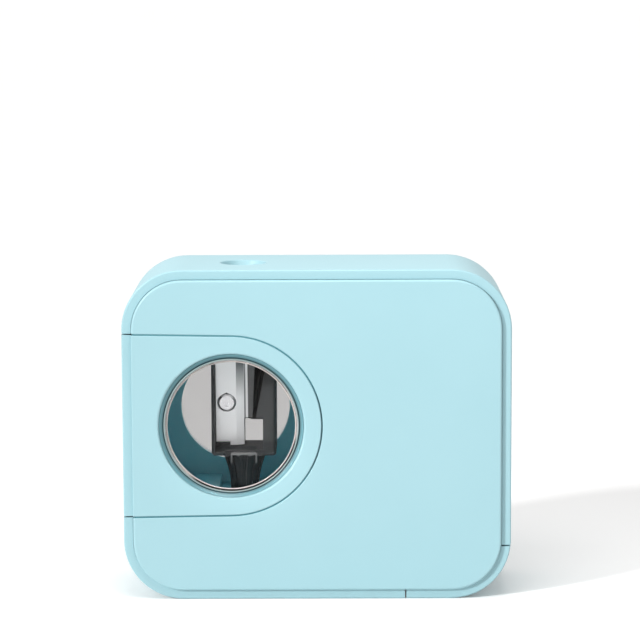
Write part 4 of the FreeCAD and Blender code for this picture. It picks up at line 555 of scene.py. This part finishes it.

# front lens with a chamfered rim, and the bead that runs round it, pale as a painted highlight of the lens
# edge
frontLens = {"radius": 14.1, "chamfer": 0.3, "front": -14.5, "back": -12.4, "flange": 16.8,
             "flangeFront": -13.4}
frontSection = [
    (0.0, frontLens["front"]), (frontLens["radius"] - frontLens["chamfer"], frontLens["front"]),
    (frontLens["radius"], frontLens["front"] + frontLens["chamfer"]),
    (frontLens["radius"], frontLens["flangeFront"]), (frontLens["flange"], frontLens["flangeFront"]),
    (frontLens["flange"], frontLens["back"]), (0.0, frontLens["back"])]
lens = turned("front_lens", frontSection, finishes["window_plastic"], axisPlace, closed=False)
dress(lens, "drawer", "front_window")

# the rim bead's pale colour is a painted highlight of the lens edge
rim = {"radius": 13.93, "depth": -14.53, "bead": 0.13, "steps": 14}
rimHighlightLook = makePlastic("rimPaintedHighlight", {
    **tones((0.58, 0.52, 0.5), (0.54, 0.48, 0.46), (0.64, 0.6, 0.58)),
    "roughness": (0.1, 0.18)})
rimSection = [(rim["radius"] + rim["bead"] * math.cos(2 * math.pi * step / rim["steps"]),
               rim["depth"] + rim["bead"] * math.sin(2 * math.pi * step / rim["steps"]))
              for step in range(rim["steps"])]
lensRim = turned("lens_rim", rimSection, rimHighlightLook, axisPlace)
dress(lensRim, "drawer")

# seal between the bezel and the lens: pale as a painted highlight, and black over the lower part, towards
# the right, as painted shadow in the gap
seal = {"outer": 14.32, "inner": 14.13, "lip": -15.06, "shoulder": -14.55, "back": -13.42,
        "paleHighlight": (0.5, 0.47, 0.46), "black": (0.003, 0.003, 0.0035),
        "blackLeft": 7.5 * mm, "blackTop": 4 * mm, "reach": 20 * mm, "fade": (2 * mm, mm, 2 * mm)}
sealShadowLow = (axisPlace[0] - seal["blackLeft"], -seal["reach"], axisPlace[2] - seal["reach"])
sealShadowHigh = (axisPlace[0] + seal["reach"], 0.0, axisPlace[2] - seal["blackTop"])
sealLook = makePlastic("lensSeal", {
    **tones(seal["paleHighlight"], seal["paleHighlight"], seal["paleHighlight"]), "edgeShow": 0.0,
    "zones": [(sealShadowLow, sealShadowHigh, seal["fade"], seal["black"])]})
sealSection = [(seal["outer"], seal["lip"]), (seal["inner"], seal["shoulder"]),
               (seal["inner"], seal["back"]), (seal["outer"], seal["back"])]
lensSeal = turned("lens_seal", sealSection, sealLook, axisPlace)
dress(lensSeal, "drawer")

# rear lens, with its flange moulded in the drawer's colour
rearLens = {"radius": 12.2, "front": 12.4, "back": 14.5, "chamfer": 0.3, "flange": 13.4, "flangeBack": 13.4,
            "seatGap": 0.02, "seatChamfer": 0.15}
rearSection = [
    (0.0, rearLens["front"]), (rearLens["radius"], rearLens["front"]),
    (rearLens["radius"], rearLens["back"] - rearLens["chamfer"]),
    (rearLens["radius"] - rearLens["chamfer"], rearLens["back"]), (0.0, rearLens["back"])]
rearGlass = turned("rear_lens", rearSection, smokedLens, axisPlace, closed=False)
seatInner = rearLens["radius"] + rearLens["seatGap"]
seatSection = [
    (seatInner, rearLens["front"] + rearLens["seatChamfer"]),
    (seatInner + rearLens["seatChamfer"], rearLens["front"]),
    (rearLens["flange"], rearLens["front"]), (rearLens["flange"], rearLens["flangeBack"]),
    (seatInner, rearLens["flangeBack"])]
rearSeat = turned("rear_lens_seat", seatSection, drawerFinish, axisPlace)
dress(rearGlass, "drawer", "rear_window")
dress(rearSeat, "drawer")

# raised floor of the drawer, left of the slot that clears the coupling
pad = {"left": -39.6, "right": -21.6, "half": 12.1, "foot": 20.43, "top": 22.6, "round": 0.3}
padOutline = [(pad["left"], -pad["half"]), (pad["right"], -pad["half"]), (pad["right"], pad["half"]),
              (pad["left"], pad["half"])]
# the raised floor's deep teal is painted shade for the inside of the drawer
padShadeLook = makePlastic(
    "drawerFloorShade", tones((0.11, 0.5, 0.6), (0.105, 0.485, 0.58), (0.2, 0.5, 0.57)))
padPiece = prismPiece("drawer_floor", padOutline, pad["foot"], pad["top"], Matrix.Scale(mm, 4), padShadeLook)
soften(padPiece, pad["round"], segments=3)
dress(padPiece, "drawer")
print("window pieces ready")


# blade: flat face, ground bevel, thin lip along the cutting edge and a drop-shaped sink for its screw
blade = {"width": bladeWidth, "length": 21.75, "thick": 0.6, "bevel": 1.7, "edge": 0.18, "lean": 11.5,
         "round": 0.08, "lipFoot": 6.3,
         "lipSection": [(-0.2, 0.0), (-0.2, -0.19), (0.36, -0.15), (0.4, -0.1), (0.8, -0.07), (0.85, 0.0)],
         "screwInset": 3.8, "screwLift": 9.95, "sinkRadius": 2.1, "sinkPoint": 2.42, "sinkDepth": 0.34,
         "sinkClear": 1.0, "sinkSteps": 40}
bladeSteel = finishes["blade_steel"]
lean = math.radians(blade["lean"])
bladeFoot = Vector((bladeLow[0] + blade["width"] * mm, bladeHigh[1],
                    bladeLow[2] + blade["thick"] * mm * math.sin(lean)))
bladePlace = Matrix.Translation(bladeFoot) @ Matrix.Rotation(lean, 4, "X") @ Matrix.Scale(mm, 4)
bladeSection = [
    (-blade["width"], 0.0), (-blade["width"], -blade["thick"] + blade["round"]),
    (-blade["width"] + blade["round"], -blade["thick"]), (-blade["bevel"], -blade["thick"]),
    (0.0, -blade["edge"]), (0.0, 0.0)]
bladePiece = prismPiece("blade", bladeSection, 0.0, blade["length"], bladePlace, bladeSteel)
lip = prismPiece("lip", blade["lipSection"], blade["lipFoot"], blade["length"], bladePlace, bladeSteel)
carve(bladePiece, lip, "UNION")
sinkOutline = [(0.0, blade["sinkPoint"])]  # the drop's point, then round from where its sides meet
sinkSide = math.acos(blade["sinkRadius"] / blade["sinkPoint"])
for step in range(blade["sinkSteps"] + 1):
    angle = math.pi / 2 + sinkSide + (2 * math.pi - 2 * sinkSide) * step / blade["sinkSteps"]
    sinkOutline.append((blade["sinkRadius"] * math.cos(angle), blade["sinkRadius"] * math.sin(angle)))
sinkPlace = (bladePlace @ Matrix.Translation((-blade["screwInset"], -blade["thick"], blade["screwLift"]))
             @ Matrix.Rotation(math.pi / 2, 4, "X"))
sinkFloor = -blade["sinkDepth"]
carve(bladePiece, prismPiece("sink", sinkOutline, sinkFloor, blade["sinkClear"], sinkPlace, bladeSteel))
tidyMesh(bladePiece, sharpAngle=12)
# a thin dark disc on the floor of the screw's sink: painted shade in the sink
sinkShade = {"thick": 0.06, "share": 0.985}
sinkShadeOutline = [(x * sinkShade["share"], y * sinkShade["share"]) for x, y in sinkOutline]
sinkShadeLook = makeMetal(
    "sinkPaintedShade", tones((0.09, 0.095, 0.1), (0.07, 0.075, 0.08), (0.2, 0.2, 0.2)))
sinkShadeTop = sinkFloor + sinkShade["thick"]
sinkShadePiece = prismPiece("screw_sink_shade", sinkShadeOutline, sinkFloor, sinkShadeTop, sinkPlace, sinkShadeLook)
dress(tidyMesh(sinkShadePiece), "cutter")
dress(bladePiece, "cutter", "cutter_blade")
print("blade ready")


# screws: chamfered head with a cross recess, and a threaded shank, one on each point of the base mesh
screwTree, screwIn, screwOut = newShapeTree("crossScrews", {
    "Head Radius": "Float", "Head Height": "Float", "Shank Radius": "Float", "Shank Length": "Float",
    "Cross": "Float", "Turn": "Vector", "Finish": "Material"})
screwShape = {  # shares of the head's and the shank's own sizes, then counts
    "brim": 0.55, "crown": 0.45, "crownRadius": 0.82, "crossWidth": 0.3, "crossDepth": 1.7,
    "core": 0.8, "threadRadius": 0.86, "threadWire": 0.14, "threadLength": 0.92,
    "headSides": 32, "coreSides": 20, "threadSides": 4, "threadSteps": 16, "pitch": 0.7 * mm}


def share(value, key):
    return mathNode(screwTree, "MULTIPLY", value, screwShape[key])


headRadius = screwIn["Head Radius"]
headHeight = screwIn["Head Height"]
brimHeight = share(headHeight, "brim")
brim = treeCone(screwTree, headRadius, headRadius, brimHeight, screwShape["headSides"])
crown = treeCone(screwTree, headRadius, share(headRadius, "crownRadius"), share(headHeight, "crown"),
                 screwShape["headSides"])
headUnion = addNode(screwTree, "GeometryNodeMeshBoolean", operation="UNION", solver="EXACT")
for half in (brim, treeMove(screwTree, crown, treeVector(screwTree, z=brimHeight))):
    plug(screwTree, half, headUnion.inputs["Mesh 2"])
crossWidth = share(headRadius, "crossWidth")
crossLength = mathNode(screwTree, "MULTIPLY", headRadius, screwIn["Cross"])
crossDepth = share(headHeight, "crossDepth")
crossTop = treeVector(screwTree, z=headHeight)
crossCut = addNode(screwTree, "GeometryNodeMeshBoolean", {"Mesh 1": headUnion.outputs["Mesh"]},
                   operation="DIFFERENCE", solver="EXACT")
for wide, long in ((crossWidth, crossLength), (crossLength, crossWidth)):
    barSize = treeVector(screwTree, wide, long, crossDepth)
    bar = addNode(screwTree, "GeometryNodeMeshCube", {"Size": barSize})
    plug(screwTree, treeMove(screwTree, bar.outputs["Mesh"], crossTop), crossCut.inputs["Mesh 2"])
shankLength = screwIn["Shank Length"]
shankRadius = screwIn["Shank Radius"]
coreRadius = share(shankRadius, "core")
core = treeCone(screwTree, coreRadius, coreRadius, shankLength, screwShape["coreSides"])
threadTurns = mathNode(screwTree, "DIVIDE", shankLength, screwShape["pitch"])
threadPath = treeSpiral(screwTree, share(shankRadius, "threadRadius"), share(shankLength, "threadLength"),
                        threadTurns, screwShape["threadSteps"])
thread = treeWire(screwTree, threadPath, share(shankRadius, "threadWire"), screwShape["threadSides"])
shankFoot = treeVector(screwTree, z=mathNode(screwTree, "MULTIPLY", shankLength, -1.0))
screwJoin = addNode(screwTree, "GeometryNodeJoinGeometry", {0: crossCut.outputs["Mesh"]})
for part in (core, thread):
    plug(screwTree, treeMove(screwTree, part, shankFoot), screwJoin.inputs[0])
screwPoints = addNode(screwTree, "GeometryNodeInstanceOnPoints", {
    "Points": screwIn["Geometry"], "Instance": screwJoin.outputs["Geometry"], "Rotation": screwIn["Turn"]})
endTree(screwTree, screwPoints.outputs["Instances"], screwIn["Finish"], screwOut)


def islands(node):
    # the boxes of the separate solids in one node
    build = bmesh.new()
    build.from_mesh(nodes[node].data)
    bmesh.ops.remove_doubles(build, verts=build.verts, dist=mergeStep)
    left = set(build.verts)
    boxes = []
    while left:
        queue = [left.pop()]
        found = []
        while queue:
            vert = queue.pop()
            found.append(vert.co.copy())
            for edge in vert.link_edges:
                other = edge.other_vert(vert)
                if other in left:
                    left.remove(other)
                    queue.append(other)
        boxes.append([[pick(spot[axis] for spot in found) for axis in range(3)] for pick in (min, max)])
    build.free()
    return sorted(boxes)  # a set has no order of its own


def middle(low, high, axis):
    return (low[axis] + high[axis]) / 2


def screwSet(name, places, sizes, turn, body, node):
    piece = grow(name, pointMesh(name, places), screwTree, {
        "Head Radius": sizes["head"] * mm, "Head Height": sizes["headHeight"] * mm,
        "Shank Radius": sizes["shank"] * mm, "Shank Length": sizes["length"] * mm, "Cross": sizes["cross"],
        "Turn": turn, "Finish": finishes["bright_steel"]})
    dress(tidyMesh(piece, sharpAngle=30), body, node)


caseScrew = {"head": 1.5, "headHeight": 1.0, "shank": 0.86, "length": 10.4, "cross": 1.25}
casePlaces = []
for low, high in islands("case_screws"):
    headFoot = high[1] - caseScrew["headHeight"] * mm
    casePlaces.append((middle(low, high, 0), headFoot, middle(low, high, 2)))
screwSet("case_cross_screws", casePlaces, caseScrew, (-math.pi / 2, 0, 0), "case", "case_screws")

gearboxScrew = {**caseScrew, "length": 5.5}
gearboxPlaces = []
for low, high in islands("gearbox_screws"):
    headFoot = high[2] - gearboxScrew["headHeight"] * mm
    gearboxPlaces.append((middle(low, high, 0), middle(low, high, 1), headFoot))
screwSet("gearbox_cross_screws", gearboxPlaces, gearboxScrew, (0, 0, 0), "case", "gearbox_screws")

bladeScrew = {"head": 1.94, "headHeight": 0.52, "shank": 1.05, "length": 2.5, "cross": 1.1}
bladeSeat = bladePlace @ Vector((-blade["screwInset"], -blade["thick"] - sinkFloor, blade["screwLift"]))
bladeTurn = (math.pi / 2 + lean, 0, 0)
screwSet("blade_cross_screw", [tuple(bladeSeat)], bladeScrew, bladeTurn, "cutter", "blade_screw")
print("screws ready:", len(casePlaces) + len(gearboxPlaces) + 1)


# springs: a wire that climbs round its axis, with its end turns laid flat
springTree, springIn, springOut = newShapeTree("coilSpring", {
    "Radius": "Float", "Wire": "Float", "Height": "Float", "Turns": "Float", "Place": "Vector",
    "Finish": "Material"})
springPath = treeSpiral(springTree, springIn["Radius"], springIn["Height"], springIn["Turns"], steps=48)
springShare = addNode(springTree, "GeometryNodeSplineParameter")
springEase = addNode(springTree, "ShaderNodeMapRange", {"Value": springShare.outputs["Factor"]},
                     interpolation_type="SMOOTHSTEP")
springClimb = mathNode(springTree, "MULTIPLY", springEase.outputs["Result"], springIn["Height"])
springSpot = addNode(springTree, "GeometryNodeInputPosition")
springSplit = addNode(springTree, "ShaderNodeSeparateXYZ", {0: springSpot.outputs["Position"]}).outputs
springPlace = treeVector(springTree, springSplit["X"], springSplit["Y"], springClimb)
springBent = addNode(springTree, "GeometryNodeSetPosition", {
    "Geometry": springPath, "Position": springPlace})
springWire = treeWire(springTree, springBent.outputs["Geometry"], springIn["Wire"], sides=12)
endTree(springTree, treeMove(springTree, springWire, springIn["Place"]), springIn["Finish"], springOut)


def coil(name, node, sizes, body):
    low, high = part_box(node)
    thick = sizes["wire"] * mm
    piece = grow(name, pointMesh(name, [(0, 0, 0)]), springTree, {
        "Radius": (high[0] - low[0]) / 2 - thick, "Wire": thick, "Height": high[2] - low[2] - 2 * thick,
        "Turns": sizes["turns"], "Place": (middle(low, high, 0), middle(low, high, 1), low[2] + thick),
        "Finish": finishes["bright_steel"]})
    dress(tidyMesh(piece, sharpAngle=60), body, node)
    return piece, low, high


returnCoil = {"wire": 0.18, "turns": 3.0, "travel": 0.8}
returnPiece, coilLow, coilHigh = coil("return_coil", "return_spring", returnCoil, "output_gear")
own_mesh(returnPiece)
batteryCoil = {"wire": 0.3, "turns": 2.0}
coil("battery_coil", "battery_spring", batteryCoil, "case")
print("springs ready")


# coupling: a flared shank with ribs all round, and the yoke that clips it to the holder
ribTree, ribIn, ribOut = newShapeTree("ribsRound", {
    "Count": "Int", "Place": "Vector", "Finish": "Material"})
ribRow = addNode(ribTree, "GeometryNodeMeshLine", {"Count": ribIn["Count"], "Offset": (0, 0, 0)})
ribIndex = addNode(ribTree, "GeometryNodeInputIndex")
ribShare = mathNode(ribTree, "DIVIDE", ribIndex.outputs["Index"], ribIn["Count"])
ribAngle = treeVector(ribTree, z=mathNode(ribTree, "MULTIPLY", ribShare, 2 * math.pi))
ribSet = addNode(ribTree, "GeometryNodeInstanceOnPoints", {
    "Points": ribRow.outputs["Mesh"], "Instance": ribIn["Geometry"], "Rotation": ribAngle})
endTree(ribTree, treeMove(ribTree, ribSet.outputs["Instances"], ribIn["Place"]), ribIn["Finish"], ribOut)

couplingLow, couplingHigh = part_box("drive_coupling")
cutterX = middle(couplingLow, couplingHigh, 0)
coupling = {"foot": couplingLow[2] / mm, "top": couplingHigh[2] / mm, "neck": holderLow[2] / mm,
            "tenon": 2.2, "collar": 4.2, "collarTall": 0.25, "ribs": 14, "ribHalf": 0.26, "ribRoot": 2.4,
            "shank": [(0.0, 2.85), (6.9, 2.85), (9.0, 3.0), (11.2, 3.35), (13.0, 3.9)],
            "ribLine": [(3.5, 3.1), (7.2, 3.1), (9.2, 3.3), (11.2, 3.75), (12.6, 4.2), (13.5, 4.46),
                        (14.1, 4.46)]}  # both as (rise, radius)
couplingLook = makePlastic("couplingBlack", {
    **tones((0.009, 0.0105, 0.0115), (0.007, 0.008, 0.009), (0.03, 0.031, 0.033)),
    "roughness": (0.5, 0.6), "ior": 1.35})
shankSection = [(0.0, coupling["foot"])]
shankSection += [(radius, coupling["foot"] + rise) for rise, radius in coupling["shank"]]
shankSection += [(coupling["collar"], coupling["neck"] - coupling["collarTall"]),
                 (coupling["collar"], coupling["neck"]), (coupling["tenon"], coupling["neck"]),
                 (coupling["tenon"], coupling["top"]), (0.0, coupling["top"])]
cutterPlace = (cutterX, 0.0, 0.0)
shank = turned("coupling_shank", shankSection, couplingLook, cutterPlace, turn=(math.pi, 0, 0), steps=64,
               closed=False)
ribOutline = [(coupling["ribRoot"], coupling["foot"] + coupling["ribLine"][0][0])]
ribOutline += [(radius, coupling["foot"] + rise) for rise, radius in coupling["ribLine"]]
ribOutline.append((coupling["ribRoot"], coupling["foot"] + coupling["ribLine"][-1][0]))
ribPlace = Matrix.Rotation(math.pi / 2, 4, "X") @ Matrix.Scale(mm, 4)
ribMesh = prismMesh("coupling_ribs", ribOutline, -coupling["ribHalf"], coupling["ribHalf"], ribPlace)
ribs = grow("coupling_ribs", ribMesh, ribTree, {
    "Count": coupling["ribs"], "Place": cutterPlace, "Finish": couplingLook})
tidyMesh(ribs, sharpAngle=25)

yoke = {"half": 2.9, "leg": 0.36, "top": 0.95, "bar": 0.6, "drop": 1.45, "thick": 0.3, "corner": 0.35,
        "notch": 0.25, "notches": [(-1.5, -0.9), (1.0, 1.8)], "round": 0.06}
yokeUnder = yoke["top"] - yoke["bar"]
yokeNotch = yokeUnder - yoke["notch"]
yokeInner = yoke["half"] - yoke["leg"]
yokeShoulder = yoke["half"] - yoke["corner"]
yokeOutline = [(-yoke["half"], -yoke["drop"]), (-yokeInner, -yoke["drop"]), (-yokeInner, yokeUnder)]
for start, end in yoke["notches"]:
    yokeOutline += [(start, yokeUnder), (start, yokeNotch), (end, yokeNotch), (end, yokeUnder)]
yokeOutline += [
    (yokeInner, yokeUnder), (yokeInner, -yoke["drop"]), (yoke["half"], -yoke["drop"]),
    (yoke["half"], yoke["top"] - yoke["corner"]), (yokeShoulder, yoke["top"]), (-yokeShoulder, yoke["top"]),
    (-yoke["half"], yoke["top"] - yoke["corner"])]
plate = {"thick": 0.25, "outline": [(-4.05, 0.02), (4.05, 0.02), (4.22, 1.4), (-4.22, 1.4)]}
yokePlace = (Matrix.Translation((cutterX, -holderFace, holderLow[2]))
             @ Matrix.Rotation(math.pi / 2, 4, "X") @ Matrix.Scale(mm, 4))
yokeLook = makePlastic(
    "greyYoke", tones((0.1, 0.102, 0.103), (0.085, 0.086, 0.087), (0.18, 0.18, 0.18)))
yokeFront = plate["thick"] + yoke["thick"]
yokePiece = prismPiece("coupling_yoke", yokeOutline, plate["thick"], yokeFront, yokePlace, yokeLook)
soften(yokePiece, yoke["round"], segments=2)
platePiece = prismPiece("coupling_plate", plate["outline"], 0.0, plate["thick"], yokePlace, couplingLook)
tidyMesh(platePiece)

# chip guide: the thin slip beside the cutting edge that turns the shaving out
guide = {"near": 0.85, "farFoot": 1.8, "farHead": 2.6, "foot": 6.3, "head": 21.7, "thick": 0.14}
guideOutline = [(guide["near"], guide["foot"]), (guide["farFoot"], guide["foot"]),
                (guide["farHead"], guide["head"]), (guide["near"], guide["head"])]
guidePlace = bladePlace @ Matrix.Rotation(math.pi / 2, 4, "X")
guidePiece = prismPiece("chip_guide", guideOutline, -guide["thick"], 0.0, guidePlace, yokeLook)
tidyMesh(guidePiece)
dress(shank, "cutter", "drive_coupling")
for piece in (ribs, yokePiece, platePiece, guidePiece):
    dress(piece, "cutter")
print("coupling ready")


# seam liner: a slip of dark teal in the gap between the drawer and the panel, painted shade for the seam
liner = {"gap": 0.32, "slack": 0.03, "front": -15.8, "back": -14.7, "endRadius": 19.45, "left": -39.6,
         "steps": 80, "topFade": (16 * mm, mm, 14 * mm), "topLight": (0.09, 0.27, 0.315),
         "endWide": 2 * mm, "endFoot": 12 * mm, "endHead": 14 * mm, "endFade": (6 * mm, mm, 6 * mm),
         "endShade": (0.012, 0.06, 0.075)}
linerX = drawerHigh[0] / mm - liner["endRadius"]
linerMid = middle(drawerLow, drawerHigh, 2) / mm
linerHalf = (drawerHigh[2] - drawerLow[2]) / 2 / mm  # at the left; the drawer narrows to the right
linerNarrow = (linerHalf - liner["endRadius"]) / (linerX - drawerLow[0] / mm)
linerEnd = linerHalf - linerNarrow * (liner["left"] - drawerLow[0] / mm)
linerOuter = liner["gap"] - liner["slack"] / 3


def linerPath(offset):
    reach = liner["endRadius"] + offset
    points = [(liner["left"], linerMid + linerEnd + offset)]
    for step in range(liner["steps"] + 1):
        angle = math.pi * (0.5 - step / liner["steps"])
        points.append((linerX + reach * math.cos(angle), linerMid + reach * math.sin(angle)))
    points.append((liner["left"], linerMid - linerEnd - offset))
    return points


linerBuild = bmesh.new()
linerRows = []
for offset, depth in ((liner["slack"], liner["front"]), (linerOuter, liner["front"]),
                      (linerOuter, liner["back"]), (liner["slack"], liner["back"])):
    linerRows.append([linerBuild.verts.new(Vector((x, depth, z)) * mm) for x, z in linerPath(offset)])
for first, second in zip(linerRows, linerRows[1:] + linerRows[:1]):
    for step in range(len(first) - 1):
        linerBuild.faces.new((first[step], first[step + 1], second[step + 1], second[step]))
for end in (0, -1):
    linerBuild.faces.new([row[end] for row in linerRows])
linerFront = liner["front"] * mm
# painted light and shade: paler along the top where light falls in, darkest at the round end
linerShading = [  # paler along the top, darkest at the round end
    ((liner["left"] * mm, linerFront, drawerHigh[2] - mm), (linerX * mm, 0.0, drawerHigh[2] + mm),
     liner["topFade"], liner["topLight"]),
    ((drawerHigh[0] - liner["endWide"], linerFront, drawerLow[2] + liner["endFoot"]),
     (drawerHigh[0] + mm, 0.0, drawerHigh[2] - liner["endHead"]), liner["endFade"], liner["endShade"])]
linerShadeLook = makePlastic("seamPaintedShade", {
    **tones((0.05, 0.2, 0.24), (0.047, 0.19, 0.23), (0.06, 0.22, 0.26)),
    "zones": linerShading})
linerPiece = tidyMesh(addPiece("seam_shade_liner", meshFrom("seam_shade_liner", linerBuild), linerShadeLook))
dress(linerPiece, "case")
print("seam liner ready")


# pale table, light and camera
stage = {"floorSize": 6.0, "floorColour": (0.86, 0.853, 0.847, 1), "floorRoughness": 0.9, "floorGlow": 0.1,
         "skyLow": 0.38, "skyHigh": 0.68, "skyBack": 0.5, "skyBackRise": (-0.1, 0.9), "skySeen": 1.15}
white = (1, 1, 1, 1)
floorBuild = bmesh.new()
bmesh.ops.create_grid(floorBuild, x_segments=1, y_segments=1, size=stage["floorSize"])
floorMesh = bpy.data.meshes.new("table")
floorBuild.to_mesh(floorMesh)
floorBuild.free()
floorLook, floorTree, floorShader = newMaterial("paleTable")
floorRay = addNode(floorTree, "ShaderNodeLightPath")
floorGlow = mathNode(floorTree, "MULTIPLY", floorRay.outputs["Is Camera Ray"], stage["floorGlow"])
wire(floorTree, floorShader, {
    "Base Color": stage["floorColour"], "Roughness": stage["floorRoughness"], "Specular IOR Level": 0.0,
    "Emission Color": white, "Emission Strength": floorGlow})
floor = addPiece("table", floorMesh, floorLook)

world = bpy.data.worlds.new("studio")
scene.world = world
world.use_nodes = True
skyTree = world.node_tree
skyPlace = addNode(skyTree, "ShaderNodeTexCoord")
skySplit = addNode(skyTree, "ShaderNodeSeparateXYZ", {0: skyPlace.outputs["Generated"]}).outputs
skyRise = spread(skyTree, skySplit["Z"], 0.0, 1.0, stage["skyLow"], stage["skyHigh"])
skyBack = spread(skyTree, skySplit["Y"], *stage["skyBackRise"], 0.0, stage["skyBack"])
skyLight = mathNode(skyTree, "ADD", skyRise, skyBack)
skyRay = addNode(skyTree, "ShaderNodeLightPath").outputs
skyStraight = mathNode(skyTree, "MAXIMUM", skyRay["Is Camera Ray"], skyRay["Is Transmission Ray"])
skyMix = addNode(skyTree, "ShaderNodeMix", {0: skyStraight, 2: skyLight, 3: stage["skySeen"]},
                 data_type="FLOAT")
wire(skyTree, skyTree.nodes["Background"], {"Color": white, "Strength": skyMix.outputs[0]})

lights = {"keyStrength": 2.72, "keySpread": 6.0, "keyTurn": 50.0, "keyHeight": 24.0,
          "boxPlace": (10 * mm, -90 * mm, 225 * mm), "boxAim": (0, -10 * mm, 72 * mm), "boxSize": 120 * mm,
          "boxSpread": 180.0, "boxPower": 0.24,
          "lampPlace": (-17 * mm, -180 * mm, 48 * mm), "lampAim": (-16 * mm, -8 * mm, 33 * mm),
          "lampSize": 16 * mm, "lampSpread": 10.0, "lampPower": 0.00036}


def addLight(name, kind, power, place):
    data = bpy.data.lights.new(name, kind)
    data.energy = power
    light = bpy.data.objects.new(name, data)
    scene.collection.objects.link(light)
    light.matrix_world = place
    return data


keyAim = Matrix.Rotation(math.radians(-lights["keyTurn"]), 4, "Z")
keyAim = keyAim @ Matrix.Rotation(math.radians(90 - lights["keyHeight"]), 4, "X")
key = addLight("key", "SUN", lights["keyStrength"], keyAim)
key.angle = math.radians(lights["keySpread"])

# soft box close above, so that the light falls off down the front, and a gridded one into the window
for name, label in (("softBox", "box"), ("windowBox", "lamp")):
    reach = Vector(lights[label + "Aim"]) - Vector(lights[label + "Place"])
    aim = Matrix.Translation(lights[label + "Place"]) @ reach.to_track_quat("-Z", "Y").to_matrix().to_4x4()
    box = addLight(name, "AREA", lights[label + "Power"], aim)
    box.size = lights[label + "Size"]
    box.spread = math.radians(lights[label + "Spread"])

# camera at the photo's height, a little right of the middle
view = {"place": (3.77 * mm, -608 * mm, 140.9 * mm), "tiltDown": 7.656, "turnLeft": 0.292, "lean": -0.228,
        "lens": 156.76, "sensor": 36, "farthest": 50}
cameraData = bpy.data.cameras.new("camera")
cameraData.lens = view["lens"]
cameraData.sensor_width = view["sensor"]
cameraData.clip_end = view["farthest"]
camera = bpy.data.objects.new("camera", cameraData)
scene.collection.objects.link(camera)
camera.matrix_world = (
    Matrix.Translation(view["place"])
    @ Matrix.Rotation(math.radians(view["turnLeft"]), 4, "Z")
    @ Matrix.Rotation(math.radians(90 - view["tiltDown"]), 4, "X")
    @ Matrix.Rotation(math.radians(view["lean"]), 4, "Z"))
scene.camera = camera
scene.view_settings.view_transform = "Standard"
print("stage, light and camera ready")
